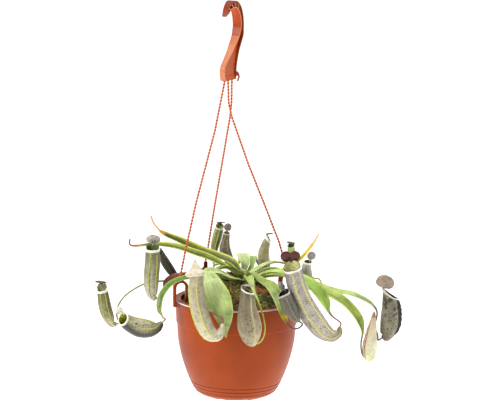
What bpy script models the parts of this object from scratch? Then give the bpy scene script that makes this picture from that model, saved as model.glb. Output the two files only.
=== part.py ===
"""Hanging pitcher plant: a 14 cm plastic pot on a hook with three strands, with its potting mix
and a rosette of strap leaves whose midribs run on as tendrils and end in pitchers.

Blender 4.5, metres, +Z up. The origin is the crown of the hook, where a rail bears. The sizes and
places below are millimetres from the middle of the pot's base, and the empty "plant_frame"
carries that point to its place under the hook.
"""

from math import cos, hypot, pi, radians, sin, sqrt, tan
from typing import NamedTuple

import bmesh
import bpy
from mathutils import Vector

MM = 0.001
GAP = 0.3  # clearance where two pieces touch
UP = Vector((0, 0, 1))
VIEWER = Vector((0, -1, 0))  # the side that the plant shows to the room

# Pot: outside radius at heights above the base, then the rim
POT_HEIGHT = 110
POT_SIDES = 32
RIM_R = 70
RIM_INSIDE_R = 62
LIP_DEPTH = 3.5
COLLAR_FOOT_Z = 83.5
WALL = 1.8
FLOOR_Z = 3.5
BOWL = [(37, 1.6), (41.5, 3.2), (46.2, 7.2), (50.3, 14.5), (54.8, 25), (58.9, 36.5),
        (62.2, 48), (64.7, 60), (66, 71), (66.5, COLLAR_FOOT_Z - 0.8)]
GROOVE_Z = (8.5, 13, 17.5)
GROOVE_HALF, GROOVE_DEPTH = 0.8, 0.7
FOOT_R = 34
FOOT_NOTCHES = 8
DRAIN_R, DRAIN_CIRCLE_R, DRAINS = 3, 21, 4

# Potting mix: a mound that is highest round the stem
MIX_EDGE_Z, MIX_RISE, MIX_R = 104, 15, 61
MIX_SIDES = 24

# Stem
STEM_X, STEM_Y, STEM_R = 10, 6, 5
STEM_FOOT_Z, STEM_TOP_Z = 106, 139
STEM_SIDES = 16

# Hook: stations across its plate, in the plate's own plane (along, height above HOOK_Z)
HOOK_X, HOOK_Y, HOOK_Z = -11, 10, 413
HOOK_TURN = radians(65)
HOOK_CROWN_OUT = (22, 30)
HOOK_CROWN_IN = (14.8, 22)
HOOK_TIP_OUT, HOOK_TIP_IN = 151, 124
HOOK_FLANGE, HOOK_WEB = 1.9, 2.4
HOOK_SPINE = [((22.6, -10), (10.8, -10), 9.4), ((18.3, -19), (2.8, -19), 8.2), ((14.6, -27), (-4.8, -27), 7),
              ((12.3, -35), (-12.6, -34), 6), ((10.4, -43), (-21.5, -42.5), 5.4),
              ((9.4, -50), (-21.6, -50), 5.6), ((8.6, -58), (-19.6, -57), 5.6)]
SOCKETS = (-15, -6, 3.6)  # along the plate, one for each strand
SOCKET_R, SOCKET_DEPTH = 1.6, 5
HOOK_DROP = HOOK_Z + HOOK_CROWN_IN[1]  # from the rail to the pot's base

# Strands and rim clips
STRAND_R = 1.1
CLIP_ANGLES = {"clip_left": 196, "clip_back_left": 124, "clip_right": 33}
CLIP_INNER_R, CLIP_OUTER_R = 58.2, 72
CLIP_THICK, CLIP_WIDE = 2.9, 6
CLIP_SHOULDER_Z, CLIP_TOP_Z = 125, 140
CLIP_NECK_R = 2.3
CLIP_FOOT_R, CLIP_FOOT_Z = (69.4, 72.3), (103.2, 105.7)

TENDRIL_R = 0.9
PITCHER_WALL = 1.3
PITCHER_SIDES = 8


class Leaf(NamedTuple):
    """A leaf from its base on the stem to its tip, and the tendril that its midrib runs on as."""
    name: str
    base: tuple  # direction round the stem in degrees, height
    blade: list  # (x, y, z, half width)
    tendril: list  # (x, y, z)
    pitcher: str = ""  # what hangs on the tendril
    face_base: tuple = (0, 0, 1)  # where the upper side looks, at the base and at the tip
    face_tip: tuple = (0, 0, 1)
    fold: float = 18  # degrees that each half rises from the midrib
    colour: str = "leaf_green"


class Pitcher(NamedTuple):
    """A pitcher from its foot on the tendril to its mouth."""
    name: str
    axis: list  # (x, y, z, radius)
    hinge: tuple = (0, 1, 0)  # the side of the mouth that carries the lid
    rise: float = 4  # how much higher the mouth stands at the hinge
    lid: tuple = (4, 4.5)  # half length and half width
    lid_to: tuple = (0, -1, 0.3)  # from the hinge to the lid's tip
    lid_face: tuple = (0, 0.3, 1)  # where the lid's upper side looks
    open: bool = True
    colour: str = "pitcher_grey"


LEAVES = [
    Leaf("leaf_left_long", (148, 139), [(-6, 16, 147, 5), (-23, 24, 152, 6), (-45, 30, 158, 6),
                                        (-66, 33, 167, 5.4), (-84, 34, 175, 3.4)],
         [(-90, 34, 181), (-95, 34, 187), (-98.5, 34, 195.5)],
         face_base=(0, -0.5, 1), face_tip=(0, -0.6, 1), fold=28),
    Leaf("leaf_left_lower", (176, 134), [(-10, 7, 142, 3.5), (-28, 11, 151, 5), (-48, 15, 157, 5.4),
                                         (-69, 19, 163, 5), (-93, 22, 165, 3.2), (-113, 22, 163.5, 1.6)],
         [(-121, 22, 164.5), (-121.5, 22, 171)], face_base=(0, -0.5, 1), face_tip=(0, -0.6, 1), fold=24),
    Leaf("leaf_front_left", (232, 131), [(-6, -14, 137, 3.6), (-20, -27, 146, 4.2), (-31, -42, 149, 6),
                                         (-28, -59, 141, 10.5), (-21, -73, 126, 14.4), (-14, -78, 109, 11),
                                         (-11.5, -78, 88, 2.4)],
         [(-11, -77.5, 83)], face_base=(0, -0.2, 1), face_tip=(0.1, -1, 0.1), fold=4, colour="leaf_pale"),
    Leaf("leaf_left_curled", (200, 138), [(-6, 0, 144, 3.4), (-17, -7, 146, 4), (-25, -16, 143, 2.2)],
         [(-28, -34, 134), (-30, -52, 125), (-33, -66, 118.5), (-34, -73, 115.5), (-32.5, -78, 113.5),
          (-28.5, -81.5, 111.5), (-23, -83, 109.5), (-18, -84, 107)], "pitcher_front_left",
         face_base=(0, 0.3, 1), fold=25, colour="leaf_dark"),
    Leaf("leaf_centre_upright", (107, 138), [(8.5, 16, 147, 5), (6, 24, 156, 8), (4, 34, 154, 6),
                                             (3, 40, 146, 2.4)],
         [(0, 44, 138), (-2, 47, 134)], "pitcher_back_brown", face_base=(0, -1, 0.3), face_tip=(0, 0.6, 0.8),
         fold=-4, colour="leaf_pale"),
    Leaf("leaf_back_small", (70, 136), [(16.5, 18.5, 144, 3), (18, 29, 152, 4), (20, 38, 148, 2.2)],
         [(26, 46, 136), (33, 53, 126)], "pitcher_back_centre", face_base=(0, -1, 0.3),
         face_tip=(0, 0.6, 0.8), fold=14, colour="leaf_dark"),
    Leaf("leaf_right_upper", (30, 138), [(25, 15, 143, 4), (37, 20, 147, 4.2), (47, 21, 148, 2.8)],
         [(56, 22, 146)], face_base=(-0.2, -0.3, 1), fold=12, colour="leaf_pale"),
    Leaf("leaf_right_yellow", (30, 133), [(26, 13, 134.5, 1.6), (40, 16.5, 136.5, 1.8), (52, 18, 140, 2.2),
                                          (64, 18, 147, 2.8), (75, 17, 157, 2.7), (84, 16, 170, 1.8)],
         [(91, 15, 183)], face_base=(-0.2, -0.4, 1), face_tip=(-0.6, -0.8, 0.5), fold=12, colour="leaf_dry"),
    Leaf("leaf_right_front", (-47, 138), [(27, -13, 133, 4.6), (38, -28, 130, 6.4), (46, -42, 121, 6.2),
                                          (51, -54, 110, 5.4), (53.5, -60, 102, 3.6)],
         [(57, -64, 96), (62, -68, 92), (68, -71, 93)], "pitcher_right_grey", face_base=(-0.1, 0.2, 1),
         face_tip=(-0.3, -0.9, 0.5), fold=20),
    Leaf("leaf_front", (-84, 134.5), [(12, -18, 138, 5), (15, -35, 136, 4), (18, -50, 131, 2)],
         [(24, -66, 121), (29.5, -75, 106), (31.5, -76.5, 92), (29, -74.5, 81), (24.5, -73, 76)],
         "pitcher_front", face_base=(0, -0.1, 1), fold=24),
    Leaf("leaf_right_short", (-28, 132), [(34, -5, 141, 3.6), (52, -14, 143, 4.6), (73, -25, 136.5, 7.8),
                                          (89, -32, 125, 8.8), (97, -35, 114, 7), (101, -37, 106, 2.6)],
         [(107, -38.5, 99)], "pitcher_front_right", face_base=(0, -0.2, 1),
         face_tip=(0.45, -0.7, 0.6), fold=22),
    Leaf("leaf_right_arching", (-2, 129), [(33, 3, 137, 3.6), (58, 2, 136, 5.6), (95, -6, 121, 7.4),
                                           (118, -12, 110, 8.4), (134, -17, 93, 7.6), (140.5, -22, 79, 2.2)],
         [(139.5, -21.5, 69), (139.5, -19.5, 60), (141.5, -15, 51), (145, -13, 46.5)], "pitcher_bud",
         face_base=(0, -0.3, 1), face_tip=(0.7, -0.5, 0.5), fold=20),
    Leaf("leaf_right_back", (22, 125), [(34, 16, 132, 3.6), (62, 20, 131, 5.2), (103, 15, 118, 5.8),
                                        (129, 9, 114, 5.4), (149, 1, 107, 3)],
         [(157, -5, 98), (155, -11, 84), (158, -13, 73)], "pitcher_far_right", face_base=(0, -0.3, 1),
         face_tip=(0.4, -0.4, 1), fold=18),
    Leaf("leaf_left_hanging", (212, 125), [(-14, -5, 133, 3.4), (-42, -16, 137, 3.8), (-68, -26, 133, 4),
                                           (-81, -36, 120, 5), (-84, -44, 107, 4)],
         [(-82, -48, 99), (-79, -48, 96)], "pitcher_left_lying", face_base=(0, -0.2, 1),
         face_tip=(-0.7, -0.7, 0.3), fold=30),
    Leaf("leaf_left_dried", (188, 130), [(-14, 4, 135, 2.6), (-38, 2, 137, 2.8), (-58, 1, 134, 4),
                                         (-70, 2, 131, 5.2), (-79, 3, 126, 3.4)],
         [(-82, 3, 117), (-83, 4, 109), (-86, 4, 104)], "pitcher_left_upright", face_base=(0, -0.4, 1),
         face_tip=(0, -1, 0.5), fold=24, colour="leaf_dry"),
    Leaf("leaf_right_inner", (2, 135), [(24, 6, 139, 2.2), (37, 7.5, 143, 2.6), (48, 9, 142, 2)],
         [(56, 11, 137), (64, 12, 127), (75, 17, 118.5), (88, 27, 117), (95, 31, 121)],
         "pitcher_right_back", face_base=(0, -0.2, 1), fold=22, colour="leaf_dark"),
    Leaf("leaf_left_trailing", (161, 126), [(-14, 12, 131, 3), (-42, 14, 131, 3.4), (-66, 13, 128, 3),
                                            (-80, 13, 126, 2)],
         [(-92, 15.5, 124), (-104, 12, 122), (-115, 2, 118), (-125, -7, 112), (-132, -9, 102), (-134, -9, 91),
          (-131, -9, 82)],
         "pitcher_far_left", face_base=(0, -0.3, 1), fold=20, colour="leaf_dark"),
    Leaf("leaf_back_left", (128, 134), [(-4, 24, 139, 3), (-14, 40, 141, 3.4), (-22, 53, 138, 2)],
         [(-27, 61, 134)], "pitcher_back_green", face_base=(0, -0.2, 1), fold=18, colour="leaf_dark"),
    Leaf("leaf_left_withered", (150, 123), [(-10, 18, 127, 2.6), (-34, 24, 130, 3), (-54, 24, 129, 2.4)],
         [(-61, 23, 127)], "pitcher_left_withered", face_base=(0, -0.3, 1), fold=20, colour="leaf_dry"),
    Leaf("leaf_right_rear", (50, 130), [(22, 20, 137, 3), (38, 26, 139, 3.4), (51, 27, 136, 2)],
         [(60, 29.5, 132)], "pitcher_back_small", face_base=(0, -0.2, 1), fold=18, colour="leaf_dark"),
]

PITCHERS = [
    Pitcher("pitcher_far_left", [(-134, -8, 80, 2), (-139, -9, 80, 3.9), (-143, -10, 88, 6.4),
                                 (-147, -10, 100, 7.2), (-149, -9, 111, 6.6), (-150, -8, 116.5, 6)],
            rise=10, lid=(5.6, 6.8), lid_to=(0, -1, 0.1), lid_face=(0.1, 0.1, 1), colour="pitcher_olive"),
    Pitcher("pitcher_left_lying", [(-82, -46, 91, 2.4), (-87, -46, 86, 6), (-95, -46, 84, 9.6),
                                   (-106, -47, 85, 10.8), (-117, -50, 90, 9.2), (-124, -55, 96, 7.3)],
            hinge=(0, 0.5, 1), rise=3, lid=(4.6, 4.8), lid_to=(-1, 0.1, 0.5), lid_face=(0.3, -0.8, 0.8)),
    Pitcher("pitcher_left_upright", [(-90, 4, 107, 2), (-94, 4, 109, 4.8), (-96, 4, 119, 7.8),
                                     (-96, 4, 134, 8.8), (-95, 5, 149, 8.7), (-95, 6, 162, 8.2)],
            rise=6, lid=(6, 8), lid_to=(0.05, -0.6, 1), lid_face=(0, -1, -0.5), colour="pitcher_pale"),
    Pitcher("pitcher_left_withered", [(-66, 22, 126, 1.8), (-72, 22, 132, 4.4), (-80, 23, 143, 5.2),
                                      (-86, 25, 153, 4)],
            hinge=(0.5, 0.8, 0), rise=4, lid=(3, 3.2), lid_to=(-0.6, -0.6, 0.5), lid_face=(0, 0.5, 1),
            colour="pitcher_brown"),
    Pitcher("pitcher_front_left", [(-15, -85, 100, 1.8), (-15.5, -86.5, 94, 3.8), (-20, -88.5, 88, 6.6),
                                   (-28, -89, 90, 8.4), (-34, -88.5, 99, 9), (-39, -87, 112, 9),
                                   (-42, -85, 124, 9), (-44, -82, 138, 8.8), (-44, -79, 149, 8),
                                   (-44.5, -78, 153.5, 11), (-45, -77, 159, 6.4), (-46, -76, 165, 2.4),
                                   (-46, -76, 169, 0.9)],
            open=False, colour="pitcher_pale"),
    Pitcher("pitcher_front", [(19, -80, 78, 2), (18, -83.5, 79, 5.2), (16.5, -87, 84.5, 9.6),
                              (15, -88.5, 95, 13.2), (13.5, -88.5, 105, 12.8), (12, -87, 117, 10.2),
                              (12, -85, 126, 8.4), (12, -83, 133, 7.4)],
            hinge=(-0.8, 0.6, 0), rise=8, lid=(7.6, 7.6), lid_to=(0.9, -0.4, 0.1), lid_face=(-0.1, 0.18, 1),
            colour="pitcher_olive"),
    Pitcher("pitcher_back_green", [(-27, 63, 137, 1.8), (-27, 63, 152, 4.3), (-24, 63, 166, 5.5),
                                   (-21.5, 63, 177, 5)],
            rise=5, lid=(4, 5), lid_to=(0, -1, 0.1), lid_face=(0, 0.1, 1), colour="pitcher_green"),
    Pitcher("pitcher_back_brown", [(-4, 49, 137, 2), (-10, 50, 144, 5.6), (-14.5, 51, 155, 6.5),
                                   (-14, 52, 165, 4.6), (-13, 52, 173, 3.8)],
            rise=2, lid=(4.2, 4.2), lid_to=(0.2, 0.1, 1), lid_face=(0.2, -1, 0.1), colour="pitcher_brown"),
    Pitcher("pitcher_back_centre", [(35, 56, 128, 2), (31.5, 55, 136, 6), (29, 55, 148, 6.4),
                                    (31, 55, 159, 5), (34, 55, 166, 4)],
            hinge=(-1, 0.2, 0), rise=5, lid=(3.2, 3), lid_to=(1, -0.2, 0.1), lid_face=(-0.1, 0, 1),
            colour="pitcher_olive"),
    Pitcher("pitcher_front_right", [(114.5, -41, 88, 2), (113.5, -42, 82, 4.4), (106, -44, 79, 7.2),
                                    (95, -48, 86, 10.4), (86, -53, 98, 11.6), (77, -58, 112, 11.8),
                                    (70, -60, 126, 11), (65, -59, 140, 10.4), (61, -57, 155, 9.6)],
            rise=10, lid=(6.8, 12), lid_to=(-0.05, -0.3, 1), lid_face=(0, -1, -0.2)),
    Pitcher("pitcher_back_small", [(65, 30, 137, 1.8), (63, 30, 146, 4.2), (61, 30, 156, 4.6),
                                   (60, 30, 163, 4)],
            rise=4, lid=(4, 5), lid_to=(0.2, -1, -0.1), lid_face=(0.2, -0.1, 1), colour="pitcher_green"),
    Pitcher("pitcher_right_grey", [(69, -72, 101, 1.8), (65, -73, 105, 5.2), (60, -73, 113, 7.8),
                                   (55.5, -72, 122, 8), (52.5, -70, 129, 7.4)],
            hinge=(0.2, 0.9, 0.2), rise=7, lid=(4.6, 5), lid_to=(-0.7, -0.1, 0.6), lid_face=(0.5, -0.5, 0.7)),
    Pitcher("pitcher_right_back", [(87, 32, 127, 1.8), (82, 32, 127, 4.4), (79, 32, 133, 5.6),
                                   (78, 32, 140, 5.2), (79, 32, 145, 5.2)],
            hinge=(0.6, 0.8, 0), rise=3, lid=(4.6, 4.8), lid_to=(0.2, -0.1, 1), lid_face=(0.2, -1, 0.2),
            colour="pitcher_olive"),
    Pitcher("pitcher_bud", [(148, -18.5, 48, 1.8), (149, -22.5, 50, 6), (149, -24, 60, 8.3),
                            (150, -24, 74, 6.8), (152, -24, 91, 3.8), (153, -24, 102, 1.2)],
            open=False, colour="pitcher_cream"),
    Pitcher("pitcher_far_right", [(163, -12, 70, 2.2), (167.5, -12, 72.5, 7.6), (172.5, -12, 84, 12),
                                  (174, -12, 97, 12), (173, -12, 108, 10.4), (172.5, -12, 115, 8.8)],
            hinge=(-1, 0, 0.1), rise=11, lid=(7.4, 10.2), lid_to=(0.25, 0, 1), lid_face=(0, -1, 0.2)),
]

COLOURS = {  # base colour as sRGB hex, roughness
    "pot_plastic": ("A4532E", 0.45), "hanger_plastic": ("B5562B", 0.4), "strand_cord": ("C8643C", 0.8),
    "potting_mix": ("2E211A", 0.95), "moss": ("8C9A3C", 0.95), "bark": ("A4643C", 0.9),
    "stem_green": ("7F8C48", 0.6),
    "leaf_green": ("8FB04A", 0.4), "leaf_pale": ("B0CC80", 0.4), "leaf_dark": ("55752A", 0.35),
    "leaf_dry": ("A8682C", 0.7), "pitcher_grey": ("A39A8E", 0.45), "pitcher_olive": ("8E8A66", 0.45),
    "pitcher_pale": ("ACA68A", 0.45), "pitcher_green": ("9CB05A", 0.45), "pitcher_brown": ("77695A", 0.5),
    "pitcher_cream": ("E6DFC4", 0.45),
}


# Materials and meshes

def linear(channel):
    return channel / 12.92 if channel <= 0.04045 else ((channel + 0.055) / 1.055) ** 2.4


def material(name):
    """The plain Principled material of that name, made once."""
    made = bpy.data.materials.get(name)
    if made:
        return made
    code, roughness = COLOURS[name]
    made = bpy.data.materials.new(name)
    made.use_nodes = True
    shader = made.node_tree.nodes["Principled BSDF"]
    channels = [linear(int(code[i:i + 2], 16) / 255) for i in (0, 2, 4)]
    shader.inputs["Base Color"].default_value = channels + [1]
    shader.inputs["Roughness"].default_value = roughness
    return made


def put(name, bm, colour):
    """The bmesh, in millimetres, as an object of the plant's frame."""
    bmesh.ops.remove_doubles(bm, verts=bm.verts, dist=0.0001)
    bmesh.ops.recalc_face_normals(bm, faces=bm.faces)
    bmesh.ops.scale(bm, vec=(MM, MM, MM), verts=bm.verts)
    mesh = bpy.data.meshes.new(name)
    bm.to_mesh(mesh)
    bm.free()
    mesh.shade_smooth()
    mesh.set_sharp_from_angle(angle=radians(35))
    obj = bpy.data.objects.new(name, mesh)
    obj.data.materials.append(material(colour))
    bpy.context.scene.collection.objects.link(obj)
    obj.parent = bpy.data.objects["plant_frame"]
    return obj


def cut_or_join(obj, other, operation):
    """Applies another object to this one as a live Boolean and hides it."""
    other.hide_render = True
    other.display_type = "WIRE"
    boolean = obj.modifiers.new(operation.title() + " " + other.name, "BOOLEAN")
    boolean.operation = operation
    boolean.object = other


def skin(bm, rings, closed=True):
    """Walls between rings of points, with a face over each end or, if not closed, none."""
    rows = [[bm.verts.new(p) for p in ring] for ring in rings]
    for one, two in zip(rows, rows[1:]):
        for i in range(len(one)):
            j = (i + 1) % len(one)
            bm.faces.new((one[i], one[j], two[j], two[i]))
    if closed:
        bm.faces.new(rows[0][::-1])
        bm.faces.new(rows[-1])
    return rows


def turned(profile, sides, centre=(0, 0)):
    """A closed (radius, height) outline turned round a vertical axis. Points on the axis become poles."""
    bm = bmesh.new()
    rows = []
    for r, z in profile:
        turns = [2 * pi * i / sides for i in range(sides)] if r else [0]
        rows.append([bm.verts.new((centre[0] + r * cos(a), centre[1] + r * sin(a), z)) for a in turns])
    for one, two in zip(rows, rows[1:]):
        for i in range(sides):
            j = (i + 1) % sides
            corners = [one[i % len(one)], one[j % len(one)], two[j % len(two)], two[i % len(two)]]
            if len(set(corners)) > 2:
                bm.faces.new(list(dict.fromkeys(corners)))
    return bm


# Curves in space

def smooth(points, spans):
    """Catmull-Rom through points of any number of values, with that many steps to each span."""
    points = [Vector(p) for p in points]
    ends = [2 * points[0] - points[1]] + points + [2 * points[-1] - points[-2]]
    out = []
    for a, b, c, d in zip(ends, ends[1:], ends[2:], ends[3:]):
        for k in range(spans):
            t = k / spans
            out.append((2 * b + (c - a) * t + (2 * a - 5 * b + 4 * c - d) * t * t
                        + (3 * b - a - 3 * c + d) * t ** 3) / 2)
    return out + [points[-1]]


def stepped(route, step=12):
    """A route with each leg cut into equal parts no longer than the step."""
    out = []
    for a, b in zip(route, route[1:]):
        parts = max(1, round((b - a).length / step + 0.4))
        out += [a.lerp(b, k / parts) for k in range(parts)]
    return out + [route[-1]]


def tangents(path):
    steps = [(b - a).normalized() for a, b in zip(path, path[1:])]
    return [(a + b).normalized() for a, b in zip(steps[:1] + steps, steps + steps[-1:])]


def square_to(direction, tangent):
    """The part of a direction that is square to the tangent, as a unit vector."""
    return (direction - direction.dot(tangent) * tangent).normalized()


def strap(path, widths, faces, fold, thick=1.5, edge=0.6):
    """Rings of six points along a path: a thin folded strap that turns round where it is narrow."""
    rings = []
    for p, along, width, face in zip(path, tangents(path), widths, faces):
        top = square_to(face, along)
        side = along.cross(top)
        blade = min(max((width - TENDRIL_R) / 1.6, 0), 1)
        half_edge = (1 - blade) * width / 2 + blade * edge / 2
        half_mid = (1 - blade) * width + blade * thick / 2
        rise = blade * width * tan(fold)
        reach = width * (0.87 + 0.13 * blade)
        rings.append([p + side * x + top * z for x, z in (
            (-reach, rise + half_edge), (0, half_mid), (reach, rise + half_edge),
            (reach, rise - half_edge), (0, -half_mid), (-reach, rise - half_edge))])
    return rings


# Pot and soil

def pot_outline():
    """The pot's section: up the outside, over the rim and down the inside."""
    outside = []
    for (r0, z0), (r1, z1) in zip(BOWL, BOWL[1:]):
        outside.append((r0, z0))
        for z in GROOVE_Z:
            if z0 < z < z1:
                for dz, depth in ((-GROOVE_HALF, 0), (0, GROOVE_DEPTH), (GROOVE_HALF, 0)):
                    r = r0 + (r1 - r0) * (z + dz - z0) / (z1 - z0)
                    outside.append((r - depth, z + dz))
    lip_z = POT_HEIGHT - LIP_DEPTH
    rim = [BOWL[-1], (67.6, COLLAR_FOOT_Z), (68.7, lip_z), (RIM_R, lip_z + 0.4), (RIM_R, POT_HEIGHT - 0.9),
           (RIM_R - 0.9, POT_HEIGHT), (RIM_INSIDE_R + 0.8, POT_HEIGHT), (RIM_INSIDE_R, POT_HEIGHT - 0.8),
           (RIM_INSIDE_R, POT_HEIGHT - 2), (66.6, lip_z - 1)]
    inside = [(r - WALL, z) for r, z in BOWL[:3:-2]] + [(BOWL[3][0] - WALL - 3, FLOOR_Z + 2.5), (38, FLOOR_Z)]
    foot = [(0, FLOOR_Z), (0, 1.4), (FOOT_R - 3, 1.4), (FOOT_R - 2.6, 0), (FOOT_R - 0.4, 0), (FOOT_R, 1.2)]
    return outside + rim + inside + foot + [BOWL[0]]


def make_pot():
    pot = put("pot", turned(pot_outline(), POT_SIDES), "pot_plastic")
    for i in range(FOOT_NOTCHES):
        around = 2 * pi * (i + 0.4) / FOOT_NOTCHES
        bm = bmesh.new()
        bmesh.ops.create_cube(bm, size=1)
        bmesh.ops.scale(bm, vec=(9, 6.5, 2.4), verts=bm.verts)
        cutter = put(f"foot_notch_{i}", bm, "pot_plastic")
        cutter.location = Vector((FOOT_R * cos(around), FOOT_R * sin(around), -0.1)) * MM
        cutter.rotation_euler.z = around
        cut_or_join(pot, cutter, "DIFFERENCE")
    for i in range(DRAINS):
        around = 2 * pi * (i + 0.5) / DRAINS
        bm = bmesh.new()
        bmesh.ops.create_cone(bm, cap_ends=True, segments=12, radius1=DRAIN_R, radius2=DRAIN_R, depth=8)
        cutter = put(f"drain_{i}", bm, "pot_plastic")
        cutter.location = Vector((DRAIN_CIRCLE_R * cos(around), DRAIN_CIRCLE_R * sin(around), 2)) * MM
        cut_or_join(pot, cutter, "DIFFERENCE")


def mix_top(r):
    return MIX_EDGE_Z + MIX_RISE * (1 - (r / MIX_R) ** 2)


def make_potting_mix():
    clear = WALL + 1.2
    side = [(r - clear, z) for r, z in BOWL[3::2]]
    outline = [(0, FLOOR_Z + GAP), (36, FLOOR_Z + GAP), (BOWL[3][0] - clear - 5, FLOOR_Z + 4)] + side
    outline += [(MIX_R + 2.5, MIX_EDGE_Z - 4), (MIX_R, MIX_EDGE_Z)]
    outline += [(r, mix_top(r)) for r in (50, 34, 18)] + [(0, mix_top(0))]
    mix = put("potting_mix", turned(outline, MIX_SIDES), "potting_mix")
    foot, r = STEM_FOOT_Z - GAP, STEM_R + GAP
    hole = turned([(0, foot), (r, foot), (r, STEM_TOP_Z), (0, STEM_TOP_Z)], STEM_SIDES, (STEM_X, STEM_Y))
    cut_or_join(mix, put("stem_hole", hole, "potting_mix"), "DIFFERENCE")


def make_stem():
    outline = [(0, STEM_FOOT_Z), (STEM_R, STEM_FOOT_Z), (STEM_R, STEM_TOP_Z - 2),
               (STEM_R - 2.5, STEM_TOP_Z + 0.5), (0, STEM_TOP_Z + 1.5)]
    put("stem", turned(outline, STEM_SIDES, (STEM_X, STEM_Y)), "stem_green")


def make_mound(name, x, y, size, height, colour, turn=0.0):
    """A low lump that lies on the potting mix, following its slope from below."""
    bm = bmesh.new()
    sides = 10

    def spot(share, lift, a):
        px = x + size[0] * share * cos(a) * cos(turn) - size[1] * share * sin(a) * sin(turn)
        py = y + size[0] * share * cos(a) * sin(turn) + size[1] * share * sin(a) * cos(turn)
        return px, py, mix_top(hypot(px, py)) + lift

    around = [2 * pi * i / sides for i in range(sides)]
    rings = [[spot(share, lift, a) for a in around] for share, lift in (
        (0.45, 0.9), (1, 0.9), (1.04, 0.4 * height + 0.9), (0.75, 0.85 * height + 0.9), (0.3, height + 0.9))]
    skin(bm, rings)
    put(name, bm, colour)


# Hanger

def hook_point(along, height, out=0.0):
    """A point of the hook from its place in the plate's plane and its distance out of it."""
    return Vector((HOOK_X + along * cos(HOOK_TURN) + out * sin(HOOK_TURN),
                   HOOK_Y + along * sin(HOOK_TURN) - out * cos(HOOK_TURN), HOOK_Z + height))


def hook_stations():
    """(outer edge, inner edge, width) from the tip, over the crown and down to the plate's foot."""
    crown = []
    steps = 12
    for k in range(steps + 1):
        a, b = (radians(tip * (1 - k / steps)) for tip in (HOOK_TIP_OUT, HOOK_TIP_IN))
        width = 4.4 + 6 * sin(min(1, 1.3 * k / steps) * pi / 2)
        crown.append(((HOOK_CROWN_OUT[0] * cos(a), HOOK_CROWN_OUT[1] * sin(a)),
                      (HOOK_CROWN_IN[0] * cos(b), HOOK_CROWN_IN[1] * sin(b)), width))
    (out_s, out_h), (in_s, in_h), width = crown[0]
    tip = ((out_s + 0.9, out_h - 1.5), (in_s - 1, in_h - 1.2), width - 1)
    return [tip] + crown + HOOK_SPINE


def i_section(outer, inner, width):
    """The hook's section: two flanges joined by a web, between its outer and inner edge."""
    outer, inner = Vector(outer), Vector(inner)
    across = (inner - outer).normalized()
    a, b = outer + across * HOOK_FLANGE, inner - across * HOOK_FLANGE
    w, t = width / 2, HOOK_WEB / 2
    corners = [(outer, -w), (a, -w), (a, -t), (b, -t), (b, -w), (inner, -w),
               (inner, w), (b, w), (b, t), (a, t), (a, w), (outer, w)]
    return [hook_point(p[0], p[1], out) for p, out in corners]


def make_hook():
    bm = bmesh.new()
    stations = hook_stations()
    skin(bm, [i_section(*station) for station in stations])
    hook = put("hanger_hook", bm, "hanger_plastic")
    for i, (outer, inner, width) in enumerate(stations[3:10:2]):
        outer, inner = Vector(outer), Vector(inner)
        along = Vector((-(inner - outer).y, (inner - outer).x)).normalized() * 0.7
        inset = (inner - outer).normalized() * 0.6
        bm = bmesh.new()
        skin(bm, [[hook_point(p.x, p.y, out) for p, out in (
            (end - along, -width / 2 + 0.5), (end + along, -width / 2 + 0.5),
            (end + along, width / 2 - 0.5), (end - along, width / 2 - 0.5))]
            for end in (outer + inset, inner - inset)])
        cut_or_join(hook, put(f"hook_rib_{i}", bm, "hanger_plastic"), "UNION")
    foot = HOOK_SPINE[-1][0][1]
    bm = bmesh.new()
    skin(bm, [[hook_point(s, foot + h, out) for s, out in ((8, -2.5), (8, 2.5), (-18.9, 2.5), (-18.9, -2.5))]
              for h in (7, 1.2)])
    cut_or_join(hook, put("hook_foot_bar", bm, "hanger_plastic"), "UNION")
    for i, along in enumerate(SOCKETS):
        bm = bmesh.new()
        bmesh.ops.create_cone(bm, cap_ends=True, segments=10, radius1=SOCKET_R, radius2=SOCKET_R,
                              depth=2 * SOCKET_DEPTH)
        socket = put(f"hook_socket_{i}", bm, "hanger_plastic")
        socket.location = hook_point(along, foot + 0.6) * MM
        cut_or_join(hook, socket, "DIFFERENCE")


def clip_neck(angle, height):
    """The middle of a clip, at a height."""
    r = (CLIP_INNER_R + CLIP_OUTER_R) / 2
    return Vector((r * cos(radians(angle)), r * sin(radians(angle)), height))


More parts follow.
